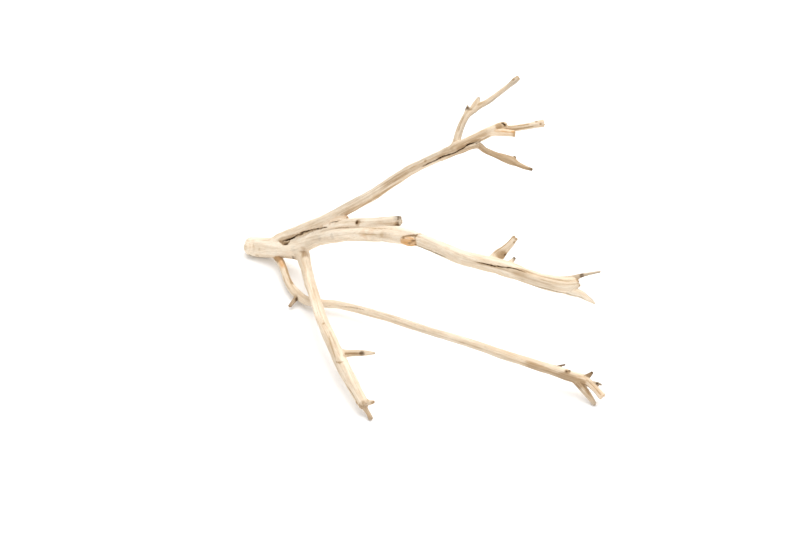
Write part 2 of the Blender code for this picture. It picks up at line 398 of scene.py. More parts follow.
@dataclass
class Trunk(LimbGroup):
    """The thick butt that the branch lies on."""

    course: Sequence[Station] = (
        (-6.8, 10.6, 10.9, 11.1), (-3, 9.4, 11.0, 11.9), (2, 7.8, 11.2, 12.2), (16, 0.2, 15.8, 12.4),
        (30, -8.4, 21.4, 12.2), (40, -14.5, 25.6, 10.6))

    def __post_init__(self) -> None:
        """Lists the trunk and its marks."""
        self.limbs = [Limb("trunk", self.course, 1, brown=0.0, fillet=3.0, worn_root=0.7)]
        self.splits = [
            Split(((-8, 4, 20, 0.9, 0.1), (-6, 0, 16, 1.0, 0.25), (-8, -4, 11, 0.9, 0.1)), StainAndShade.BROWN, 0.22),
            Split(((-3, 3, 20, 0.8, 0.1), (-1, -2, 17, 1.0, 0.2), (-3, -6, 11, 0.9, 0.1)), StainAndShade.BROWN, 0.18),
        ]
        self.streaks = [
            Streak("trunk", ((22, 40), (40, 44), (58, 46)), 1.8, StainAndShade.BROWN, 0.35, 0.2, 10),
            Streak("trunk", ((14, -52), (30, -58), (50, -60)), 3.0, StainAndShade.BROWN, 0.2, 0.2, 10),
            Streak("trunk", ((26, 2), (40, -4), (56, -6)), 0.9, StainAndShade.BROWN, 0.25, 0.25, 8),
            # Painted shadow: a dark band along a shallow groove on the butt's underside, where it rests on the table.
            Streak("trunk", ((1, -72), (10, -72)), 2.2, StainAndShade.DARK, 0.85, 0.3, 3),
        ]
        self.spots = [
            Spot("trunk", 9, 2, 2.4, -0.3, StainAndShade.BROWN, 0.3), Spot("trunk", 21, -14, 1.6, -0.35, StainAndShade.BROWN, 0.4),
            Spot("trunk", 5, 36, 1.8, -0.3, StainAndShade.BROWN, 0.35), Spot("trunk", 14, -58, 2.6, -0.5, StainAndShade.BROWN, 0.45),
            Spot("trunk", -3, -20, 3.2, -0.3, StainAndShade.BROWN, 0.3),
        ]


@dataclass
class UpperLimb(LimbGroup):
    """The long browner limb that rises from the fork, with its twigs."""

    course: Sequence[Station] = (
        (24, -3, 23, 8.4), (36, -7, 33, 9.0), (48, -12.5, 42, 8.8), (70, -28, 63.4, 7.9), (95, -44, 87.4, 6.9),
        (142, -64, 130.4, 6.7), (168, -71, 154.5, 6.5), (188, -77.2, 173, 6.1), (212, -85.5, 192, 5.7),
        (232, -91.5, 206.6, 5.8), (247, -94.5, 217.4, 5.7), (264, -91, 225, 5.3), (278, -88, 231, 5.2),
        (287, -85.5, 234.5, 4.9), (292, -84.5, 236, 3.8))
    top_twig: Sequence[Station] = (
        (237, -92, 210, 5.0), (240, -84, 218, 4.4), (245, -74, 230, 4.1), (251, -68, 239.4, 4.2),
        (259, -62, 242.9, 4.0), (266, -59, 246.3, 3.5), (274, -56, 249.4, 3.2), (291, -49, 260, 2.8), (298, -46, 264.5, 3.0),
        (303.5, -43.5, 268.5, 3.5), (308, -41, 271.5, 2.6))
    top_twig_knob: Sequence[Station] = (
        (249.8, -69.5, 237.5, 3.4), (250.6, -66.5, 241.8, 3.0), (251.2, -64.2, 244.4, 2.6), (251.3, -62.6, 246, 1.6),
        (251.4, -61, 248, 0.7))
    top_twig_spur: Sequence[Station] = ((257, -63, 243, 3.8), (261, -58, 248, 3.4), (264, -53, 252.5, 1.7))
    broken_stub: Sequence[Station] = ((274, -89, 229.6, 4.2), (289, -92, 230.6, 4.0), (302, -95, 230.8, 3.5))
    straight_twig: Sequence[Station] = (
        (282, -85, 232, 3.6), (298, -84, 231, 3.6), (309, -80, 230.3, 3.5), (320, -76, 230, 3.5),
        (328, -74, 230.8, 4.0), (335, -73, 231.6, 4.4))
    lower_twig: Sequence[Station] = (
        (222, -91, 199, 3.8), (237, -96, 209, 4.4), (246, -96, 212.5, 4.5), (254, -95, 215, 4.3),
        (263, -93, 214.6, 3.9), (270, -96.6, 211, 3.6), (281, -100.5, 207.5, 3.5), (292, -104.7, 205.2, 4.7),
        (300, -107, 203, 4.8), (306, -110, 201, 3.1), (314, -113.5, 199, 2.5), (321, -116, 198, 1.8))
    lower_twig_knob: Sequence[Station] = ((298, -107, 203, 2.8), (303, -104, 206.5, 2.0))

    def __post_init__(self) -> None:
        """Lists the limb, its twigs and their marks."""
        self.limbs = [
            Limb("upper_limb", self.course, 2, brown=0.3, grey=0.05, fillet=1.6, worn_tip=0.7),
            Limb("top_twig", self.top_twig, 6, torn=0.9, brown=0.44, grey=0.22, fillet=3.5,
                 tip=(StainAndShade.BROWN, 5.0, 0.35)),
            Limb("top_twig_knob", self.top_twig_knob, 7, brown=0.4, fillet=0.8, tip=(StainAndShade.GREY, 2.6, 0.9)),
            Limb("top_twig_spur", self.top_twig_spur, 8, brown=0.4, grey=0.3, fillet=2.0,
                 tip=(StainAndShade.GREY, 4.0, 0.8)),
            Limb("broken_stub", self.broken_stub, 9, torn=1.8, brown=0.0, grey=0.0, orange=0.3, fillet=0.8,
                 tip=(StainAndShade.BROWN, 3.4, 0.75)),
            Limb("straight_twig", self.straight_twig, 10, torn=2.4, brown=0.34, grey=0.2, orange=0.04,
                 fillet=1.5, tip=(StainAndShade.ORANGE, 9.0, 0.16)),
            Limb("lower_twig", self.lower_twig, 11, brown=0.75, grey=0.16, fillet=3, tip=(StainAndShade.DARK, 5.0, 0.7)),
            Limb("lower_twig_knob", self.lower_twig_knob, 12, brown=0.6, fillet=1.0, tip=(StainAndShade.DARK, 3.0, 0.85)),
        ]
        self.splits = [
            # Partly painted shade, partly browner wood: the brown and dark hollow in the crotch under the upper
            # limb's root, above the trunk's rim.
            Split(((30, -14, 35.5, 1.2, 0.3), (35, -18.5, 35, 2.2, 0.9), (40, -22, 37, 2.4, 1.4), (45, -22.5, 41.5, 1.4, 0.8)),
                  StainAndShade.BROWN, 1.0, 2.0, 0.5, 1.3),
            Split(((35, -20, 34, 0.6, 0.6), (40, -23.5, 36, 0.9, 1.2), (43.5, -25.5, 38.5, 0.7, 0.8)), StainAndShade.DARK, 0.25, 1.5),
            Split(((33, -16, 36, 0.5, 0.5), (38, -17.8, 38, 0.8, 2.0), (42, -19.5, 40, 0.95, 4.0), (45, -20.5, 42, 0.95, 4.5),
                   (50, -24, 47, 0.85, 4.5), (55, -27, 52, 0.85, 4.0), (58, -29, 54, 0.75, 3.5), (62.5, -32, 58, 0.5, 2.0)),
                  StainAndShade.DARK, 1.0, 2.0, 0.5, 1.3),
            Split(((57, -28.5, 55, 0.5, 1.5), (60, -31, 58, 0.8, 4.0), (64, -33.5, 61, 0.95, 4.5), (68, -36, 64, 0.95, 4.5),
                   (74, -39.5, 68, 0.85, 4.0), (81, -43.5, 72, 0.75, 3.5), (86, -49, 77, 0.65, 3.0), (92, -54.5, 81.5, 0.4, 1.5)),
                  StainAndShade.DARK, 1.0, 2.0, 0.5, 1.3),
            Split(((93, -55, 86.5, 0.4, 0.8), (99, -58, 91, 0.5, 1.4), (104, -61, 94, 0.5, 1.4), (109, -64.5, 98, 0.4, 0.8)),
                  StainAndShade.DARK, 0.8, 2.0, 0.5, 1.3),
            Split(((201, -88, 184.5, 0.35, 1.0), (207, -90, 189, 0.5, 3.0), (215, -93, 195, 0.6, 3.5),
                   (221, -95, 200, 0.7, 4.0), (226, -97, 204, 0.7, 4.0), (232, -99, 207, 0.55, 3.5),
                   (237, -101, 210, 0.55, 3.5), (242, -101, 214, 0.6, 4.0), (246, -100.3, 216, 0.7, 4.0),
                   (250, -99.7, 218.7, 0.8, 4.0), (253, -99, 220, 0.75, 4.0), (257, -98, 221, 0.6, 3.0),
                   (262, -96.5, 222.3, 0.4, 1.5)), StainAndShade.DARK, 1.0, 2.0, 0.5, 1.25),
            Split(((258.5, -98.3, 219.7, 0.6, 0.6), (262, -97, 220.3, 0.8, 1.2), (266, -95.6, 222.2, 0.6, 0.6)),
                  StainAndShade.DARK, 0.6, 1.5),
            Split(((286.8, -86, 241, 0.8, 0.8), (288.6, -86.6, 239.8, 1.2, 3.2), (290.6, -87.8, 238.3, 1.3, 3.5),
                   (292.6, -88, 236.3, 0.9, 1.5)), StainAndShade.DARK, 1.0, 0.6, 0.3, 1.3),
        ]
        self.streaks = [
            Streak("top_twig_knob", ((7.2, 0), (11.8, 0)), 7.0, StainAndShade.DARK, 1.0, 0.0, 1.4),
            # Painted shade: brown round the top twig's root, in its crotch with the upper limb.
            Streak("top_twig", ((-2, 0), (8, 0)), 6.0, StainAndShade.BROWN, 0.5, 0.0, 8),
            Streak("top_twig", ((96, 0), (110, 0)), 9.0, StainAndShade.GREY, 0.45, 0.0, 4),
            Streak("upper_limb", ((12, -8), (26, -6), (44, -8)), 3.4, StainAndShade.BROWN, 0.3, 0.0, 8),
            Streak("upper_limb", ((30, -20), (44, -22), (56, -26)), 1.2, StainAndShade.BROWN, 0.6, 0.1, 6),
            Streak("upper_limb", ((32, 2), (46, -6), (60, -10)), 0.8, StainAndShade.BROWN, 0.4, 0.2, 6),
            Streak("upper_limb", ((100, -30), (130, -31), (179, -37), (202, -48), (224, -66), (247, -76)),
                   2.0, StainAndShade.BROWN, 0.28, 0.5, 14),
            Streak("upper_limb", ((118, 2), (160, 4), (205, -4), (240, -14)), 1.2, StainAndShade.BROWN, 0.26, 0.35, 16),
            Streak("upper_limb", ((130, -62), (170, -58), (215, -70)), 1.2, StainAndShade.BROWN, 0.45, 0.4, 12),
            Streak("upper_limb", ((110, 62), (170, 52), (230, 45), (300, 40)), 1.5, StainAndShade.GREY, 0.6, 0.2, 20),
            Streak("upper_limb", ((140, 30), (190, 26), (250, 22)), 1.1, StainAndShade.BROWN, 0.3, 0.25, 16),
            Streak("upper_limb", ((200, 8), (240, 0), (286, -4)), 2.6, StainAndShade.BROWN, 0.3, 0.2, 16),
            Streak("upper_limb", ((286, 34), (322, 24), (342, 10)), 4.0, StainAndShade.BROWN, 0.42, 0.3, 12),
            Streak("upper_limb", ((292, -14), (316, -24), (330, -40)), 1.4, StainAndShade.BROWN, 0.9, 0.4, 8),
            Streak("upper_limb", ((326, -62), (343, -50)), 0.8, StainAndShade.BROWN, 0.6, 0.4, 4),
            Streak("upper_limb", ((351, 10), (357, 14)), 3.6, StainAndShade.BROWN, 0.75, 0.3, 3),
            Streak("lower_twig", ((48, -20), (70, -50), (86, -42), (108, -30)), 0.8, StainAndShade.BROWN, 0.7, 0.3, 5),
            Streak("top_twig", ((12, -30), (35, -60), (60, -70), (108, -50)), 2.0, StainAndShade.GREY, 0.65, 0.2, 8),
            Streak("top_twig", ((20, 20), (40, 30), (64, 30)), 0.8, StainAndShade.BROWN, 0.55, 0.2, 6),
            Streak("straight_twig", ((10, -20), (33, -30), (42, -30)), 1.2, StainAndShade.BROWN, 0.8, 0.3, 5),
            Streak("straight_twig", ((12, 30), (38, 26)), 0.7, StainAndShade.BROWN, 0.6, 0.3, 5),
            Streak("broken_stub", ((14, 20), (27, 10)), 0.5, StainAndShade.ORANGE, 0.6, 0.3, 3),
            Streak("broken_stub", ((16, 62), (28, 55)), 0.6, StainAndShade.ORANGE, 0.4, 0.25, 3),
        ]
        self.spots = [
            Spot("straight_twig", 47, 48, 1.3, 0.5, StainAndShade.BROWN, 0.7),
            Spot("straight_twig", 51, -10, 1.1, -0.5, StainAndShade.BROWN, 0.7),
            Spot("top_twig", 106, 40, 1.4, 0.5, StainAndShade.BROWN, 0.7),
            Spot("broken_stub", 26.5, 30, 1.6, 0.4, StainAndShade.ORANGE, 0.9),
            Spot("upper_limb", 262, 20, 1.6, -0.3, StainAndShade.BROWN, 0.6),
            Spot("upper_limb", 353.5, -6, 2.9, -0.3, StainAndShade.BROWN, 1.0),
        ]


@dataclass
class MiddleLimb(LimbGroup):
    """The thickest limb, which arches up and runs out to the right, with the stub that lies above it."""

    course: Sequence[Station] = (
        (34, -14, 23.5, 8.4), (45, -21, 29, 9.8), (60, -28.5, 39, 9.4), (80, -42, 56.6, 8.2), (119, -82, 90, 8.3),
        (157, -120, 115.4, 9.1), (177, -142, 128.2, 9.3), (199, -167, 139.5, 7.3), (240, -218, 153, 7.9),
        (280, -249, 161, 8.4), (320, -277, 164, 7.9), (342, -285, 164, 8.1), (352, -284, 164, 7),
        (357, -282, 164, 5))
    arch_stub: Sequence[Station] = (
        (70, -34, 54, 6), (80, -39, 64, 5.4), (100, -55, 84, 5), (119, -73, 99, 5.6), (138, -91, 111, 5.7),
        (156, -106, 122, 5.9), (170, -117, 130.6, 5.9), (175.5, -121, 134, 5.7))
    root_flange: Sequence[Station] = ((90, -46, 78, 5), (103, -55.5, 91.4, 4.6), (116, -62.5, 98.6, 3.5))
    torn_knot: Sequence[Station] = (
        (180, -155, 131, 3.4), (185, -160.5, 134, 4.9), (190, -166.5, 136.8, 4.8), (195.5, -171, 139, 3.2))
    spur: Sequence[Station] = (
        (273, -236, 158, 6.3), (281, -230, 164, 5.9), (286, -229, 169, 4.5), (291.4, -227, 174, 3.7),
        (297, -223, 180, 3.2))
    nub: Sequence[Station] = ((288, -250, 162, 4.0), (295.6, -245, 169.6, 1.7))
    end_twig: Sequence[Station] = (
        (340, -281, 165.5, 4.8), (352, -278, 167, 3.4), (362, -276, 169.5, 2.4), (370, -275, 171, 1.6),
        (381, -273, 172, 1.2))
    end_splinter: Sequence[Station] = (
        (330, -282, 162, 4), (350, -289, 159, 5), (360, -292, 157.5, 4.2), (367, -297, 155.5, 3.0),
        (374, -302, 153, 1.2))

    def __post_init__(self) -> None:
        """Lists the limb, its stubs and twigs, and their marks."""
        self.limbs = [
            Limb("middle_limb", self.course, 3, torn=3.5, brown=0.08, grey=0.03, fillet=2.5,
                 tip=(StainAndShade.BROWN, 3.0, 0.3)),
            Limb("arch_stub", self.arch_stub, 13, torn=2.6, brown=0.13, grey=0.04, orange=0.03, fillet=0.8,
                 tip=(StainAndShade.GREY, 2.5, 0.6)),
            Limb("root_flange", self.root_flange, 14, torn=1.6, brown=0.0, orange=0.22, fillet=1.2,
                 tip=(StainAndShade.ORANGE, 7.0, 0.5)),
            Limb("torn_knot", self.torn_knot, 15, torn=2.0, brown=0.45, orange=1.0, fillet=0.5,
                 tip=(StainAndShade.BROWN, 2.5, 0.6)),
            Limb("middle_spur", self.spur, 16, torn=2.6, brown=0.32, grey=0.08, fillet=3.5,
                 tip=(StainAndShade.BROWN, 3.0, 0.6)),
            Limb("middle_nub", self.nub, 17, brown=0.3, fillet=2, tip=(StainAndShade.DARK, 3.0, 0.95)),
            Limb("end_twig", self.end_twig, 18, brown=0.6, grey=0.7, fillet=3, tip=(StainAndShade.GREY, 12.0, 0.8)),
            Limb("end_splinter", self.end_splinter, 19, brown=0.2, fillet=0.8),
        ]
        self.splits = [
            Split(((257, -241, 162, 0.3, 0.8), (262, -245, 163, 0.4, 2.0), (266, -248, 163.8, 0.55, 3.5),
                   (270, -250.6, 164.8, 0.6, 4.0), (275, -254, 165.6, 0.5, 4.0), (280, -257, 167, 0.5, 4.0),
                   (285, -259.5, 168.2, 0.5, 4.0), (292, -263.5, 169.6, 0.45, 3.0), (300, -268, 170, 0.4, 2.0),
                   (306, -272.5, 170, 0.3, 0.8)), StainAndShade.DARK, 0.95, 3.0, 0.5, 1.25),
            Split(((191, -172, 138, 0.5, 1.0), (198, -176.5, 137.2, 0.7, 1.6), (209, -190.5, 141.8, 0.7, 1.6),
                   (219, -203.5, 144.8, 0.7, 1.6), (228, -213, 147.8, 0.4, 1.0)), StainAndShade.DARK, 0.5),
            Split(((312, -281, 160, 0.35, 0.8), (319, -285, 161, 0.45, 1.2), (329, -290, 161.5, 0.5, 1.4),
                   (339, -292, 160, 0.55, 1.8), (349, -294, 158.3, 0.6, 2.0), (359, -296.5, 156.5, 0.6, 1.8),
                   (365, -300, 156, 0.4, 1.0)), StainAndShade.DARK, 0.55, 3.0, 0.5, 1.4),
            Split(((101, -62, 85, 0.5, 0.3), (119, -82, 99, 0.7, 0.6), (137, -101, 111, 0.6, 0.5),
                   (154, -120, 123, 0.7, 0.6), (169, -137, 134, 0.6, 0.4)), StainAndShade.BROWN, 0.4),
            Split(((60, -36, 50, 0.5, 0.3), (72, -44, 61, 0.7, 0.4), (84, -54, 71, 0.5, 0.3)), StainAndShade.BROWN, 0.25),
            Split(((178, -156, 135, 0.8, 0.3), (183, -159, 139, 1.2, 0.7), (189, -162, 142, 1.2, 0.8),
                   (196, -166, 144.5, 1.1, 0.6), (202, -168, 147, 0.8, 0.3)), StainAndShade.BROWN, 0.8),
            Split(((179, -157, 135.5, 0.9, 0.3), (182, -161, 137.5, 1.0, 0.3)), StainAndShade.DARK, 0.45, 1.0),
            Split(((186, -168.5, 136, 0.9, 0.4), (190, -170, 138.5, 1.1, 0.5), (194, -170, 141.5, 0.8, 0.4)),
                  StainAndShade.BROWN, 0.8, 1.0),
            Split(((192.5, -166, 143, 0.9, 0.3), (195.5, -168.5, 141.5, 1.0, 0.3)), StainAndShade.DARK, 0.45, 1.0),
        ]
        self.streaks = [
            Streak("middle_limb", ((150, 0), (470, 0)), 60.0, StainAndShade.BROWN, 0.07, 0.0, 50),
            Streak("middle_limb", ((370, 0), (470, 0)), 60.0, StainAndShade.BROWN, 0.22, 0.0, 110),
            Streak("middle_limb", ((40, 0), (74, -10), (103, 8), (125, -6)), 5.0, StainAndShade.GREY, 0.16, 0.2, 14),
            Streak("middle_limb", ((22, -30), (40, -30), (60, -36)), 4.0, StainAndShade.GREY, 0.16, 0.2, 10),
            Streak("middle_limb", ((130, 6), (162, -2), (190, -8)), 1.0, StainAndShade.BROWN, 0.3, 0.3, 12),
            Streak("middle_limb", ((162, -6), (185, -14), (212, -12)), 2.4, StainAndShade.BROWN, 0.26, 0.2, 12),
            Streak("middle_limb", ((130, -50), (170, -56), (214, -58)), 2.4, StainAndShade.GREY, 0.2, 0.2, 16),
            Streak("middle_limb", ((250, 22), (300, 18), (340, 10)), 1.2, StainAndShade.BROWN, 0.22, 0.2, 14),
            Streak("middle_limb", ((345, -2), (380, 4), (415, 22)), 3.2, StainAndShade.BROWN, 0.2, 0.0, 10),
            Streak("middle_limb", ((255, -40), (310, -46), (380, -52), (440, -50)), 3.0, StainAndShade.BROWN, 0.2, 0.1, 20),
            Streak("middle_limb", ((320, 10), (350, -12), (440, -16)), 1.4, StainAndShade.BROWN, 0.24, 0.2, 20),
            Streak("middle_limb", ((400, 40), (430, 34), (458, 30)), 1.1, StainAndShade.BROWN, 0.3, 0.3, 10),
            Streak("middle_limb", ((425, 8), (445, 2), (466, -2)), 0.8, StainAndShade.BROWN, 0.3, 0.3, 6),
            Streak("arch_stub", ((70, 20), (110, 16), (150, 8)), 1.0, StainAndShade.BROWN, 0.3, 0.2, 14),
            Streak("arch_stub", ((84, 60), (130, 56), (158, 60)), 1.4, StainAndShade.GREY, 0.35, 0.2, 14),
            Streak("arch_stub", ((120, -16), (158, -26)), 0.8, StainAndShade.BROWN, 0.25, 0.2, 10),
            Streak("end_splinter", ((18, 70), (36, 80), (47, 60)), 1.3, StainAndShade.GREY, 0.9, 0.0, 4),
            Streak("torn_knot", ((18, 18), (30, 40), (45, 75)), 1.0, StainAndShade.BROWN, 0.9, 0.7, 4),
            Streak("middle_spur", ((8, 60), (20, 60), (34, 70)), 1.0, StainAndShade.BROWN, 0.8, 0.3, 5),
        ]
        self.spots = [
            Spot("arch_stub", 96.5, 12, 2.2, 0.6, StainAndShade.DARK, 1.0), Spot("arch_stub", 97.5, 8, 4.2, 0.0, StainAndShade.BROWN, 0.7),
            Spot("arch_stub", 160.5, -62, 2.6, 0.0, StainAndShade.DARK, 0.85),
            Spot("arch_stub", 160, -50, 3.6, 0.0, StainAndShade.BROWN, 0.6),
            Spot("arch_stub", 160.5, 82, 2.8, 0.0, StainAndShade.DARK, 0.6),
            Spot("arch_stub", 160, 75, 4.5, 0.0, StainAndShade.GREY, 1.0),
            Spot("root_flange", 40.5, 10, 1.8, 0.0, StainAndShade.DARK, 0.8),
            Spot("end_twig", 23, -4, 2.2, 0.7, StainAndShade.DARK, 0.75),
            Spot("middle_spur", 15, -50, 3.0, -0.6, StainAndShade.BROWN, 1.0),
            # Partly painted shade, partly browner wood: the broad brown patch at the spur's root, in its crotch with
            # the limb.
            Spot("middle_spur", 12, -10, 6.0, 0.0, StainAndShade.BROWN, 0.5),
            Spot("middle_spur", 16, -68, 1.4, 0.0, StainAndShade.DARK, 0.9),
            Spot("middle_spur", 31, -40, 1.2, -0.6, StainAndShade.BROWN, 0.9),
            Spot("middle_limb", 205, -4, 2.2, -0.3, StainAndShade.GREY, 0.4),
            Spot("middle_limb", 462, 42, 1.8, -0.5, StainAndShade.BROWN, 0.8),
            Spot("middle_limb", 76, -2, 2.8, -0.2, StainAndShade.GREY, 0.4),
            Spot("middle_limb", 104, -6, 2.8, -0.3, StainAndShade.GREY, 0.7),
            Spot("middle_limb", 40, -31, 3.0, -0.2, StainAndShade.BROWN, 0.4),
            Spot("middle_limb", 163, 6, 4.0, -0.2, StainAndShade.ORANGE, 0.3),
            Spot("middle_limb", 178, 10, 4.4, -0.2, StainAndShade.ORANGE, 0.25),
            Spot("middle_limb", 199, 4, 3.2, -0.2, StainAndShade.BROWN, 0.25),
            Spot("middle_limb", 168, -26, 3.4, -0.2, StainAndShade.ORANGE, 0.3),
            Spot("middle_limb", 25, -12, 3.2, -0.2, StainAndShade.GREY, 0.3),
        ]


@dataclass
class FrontLeg(LimbGroup):
    """The prop that comes toward the viewer."""

    course: Sequence[Station] = (
        (34, -12, 21, 8.8), (48, -20, 24.5, 9.9), (59.5, -32, 28, 8.8), (63.4, -50, 28, 7.5), (66.4, -66, 28, 7.1),
        (70, -86, 28.5, 6.7), (79, -125, 29, 6.3), (88, -162, 28, 6.3), (100, -198, 26, 6.8), (111, -230, 23, 7.0),
        (122.7, -259, 18, 6.8), (131.5, -278, 14, 6.5), (138, -291.5, 10.8, 5.9))
    foot: Sequence[Station] = ((135, -284, 11, 3.8), (140, -294.5, 6.8, 2.7), (143, -299, 4.5, 2.2), (145.5, -304, 2.1, 2.7))
    spur: Sequence[Station] = ((136, -286, 12.5, 4.2), (143, -290.5, 13, 3.0), (149, -291.5, 14.8, 1.5))
    twig: Sequence[Station] = ((109, -220, 23, 5.2), (122, -221.5, 25.8, 3.7), (135, -224, 28, 3.3), (149, -227, 30, 1.2))
    nub: Sequence[Station] = ((51, -28, 23.5, 3), (48.6, -33.6, 23.2, 1.6))

    def __post_init__(self) -> None:
        """Lists the leg, its twigs and their marks."""
        self.limbs = [
            Limb("front_leg", self.course, 4, torn=4.0, brown=0.26, grey=0.04, fillet=3,
                 tip=(StainAndShade.BROWN, 3.0, 0.35)),
            Limb("front_leg_foot", self.foot, 20, brown=0.8, fillet=0.8, tip=(StainAndShade.GREY, 3.0, 0.6)),
            Limb("front_leg_spur", self.spur, 21, brown=0.5, fillet=1.5, tip=(StainAndShade.BROWN, 4.0, 0.9)),
            Limb("front_leg_twig", self.twig, 22, brown=0.5, grey=0.1, fillet=3, tip=(StainAndShade.BROWN, 3.0, 0.2)),
            Limb("front_leg_nub", self.nub, 23, brown=0.1, fillet=1.0, tip=(StainAndShade.DARK, 2.6, 0.7)),
        ]
        self.splits = [
            Split(((117, -265, 19, 0.4, 0.5), (121, -274, 17.5, 0.5, 0.9), (125, -283, 16, 0.5, 0.9),
                   (129.5, -290, 14, 0.4, 0.5)), StainAndShade.BROWN, 0.6),
            Split(((106, -235, 25, 0.7, 0.3), (110, -240, 27, 0.9, 0.4), (115, -240, 28, 0.7, 0.2)),
                  StainAndShade.BROWN, 0.5, 1.5),
        ]
        self.streaks = [
            # Partly painted shade, partly browner wood: the brown smudge in the shallow hollow at the leg's root,
            # under the arch.
            Streak("front_leg", ((26, 2), (38, 10), (52, 22)), 4.2, StainAndShade.BROWN, 0.55, 0.2, 8),
            Streak("front_leg", ((205, -2), (224, -20), (240, -34)), 1.2, StainAndShade.BROWN, 0.4, 0.2, 8),
            Streak("front_leg", ((196, 30), (222, 24), (240, 18)), 1.0, StainAndShade.BROWN, 0.3, 0.2, 8),
            Streak("front_leg", ((250, 10), (275, 4), (300, 0)), 0.9, StainAndShade.BROWN, 0.25, 0.15, 10),
            Streak("front_leg", ((258, 40), (280, 36), (304, 30)), 0.9, StainAndShade.BROWN, 0.25, 0.15, 8),
            Streak("front_leg", ((120, -40), (160, -34), (200, -20)), 2.6, StainAndShade.ORANGE, 0.12, 0.0, 14),
            Streak("front_leg", ((60, -10), (110, -4), (150, 10)), 1.6, StainAndShade.ORANGE, 0.16, 0.0, 14),
            Streak("front_leg", ((110, 20), (150, 14), (190, 20)), 0.9, StainAndShade.BROWN, 0.3, 0.2, 12),
            Streak("front_leg", ((180, -60), (220, -66), (260, -66)), 2.2, StainAndShade.GREY, 0.3, 0.15, 16),
            Streak("front_leg_twig", ((8, 0), (20, -6), (27, -10)), 1.2, StainAndShade.BROWN, 0.7, 0.2, 5),
        ]
        self.spots = [
            Spot("front_leg_twig", 27.5, -6, 2.6, 0.5, StainAndShade.DARK, 0.85), Spot("front_leg", 226, 70, 1.6, 0.0, StainAndShade.GREY, 0.9),
            Spot("front_leg", 302, -70, 2.0, 0.5, StainAndShade.BROWN, 0.8),
            Spot("front_leg", 182, 4, 1.4, -0.3, StainAndShade.BROWN, 0.45),
            Spot("front_leg", 240, 66, 2.4, 0.6, StainAndShade.BROWN, 0.5),
        ]


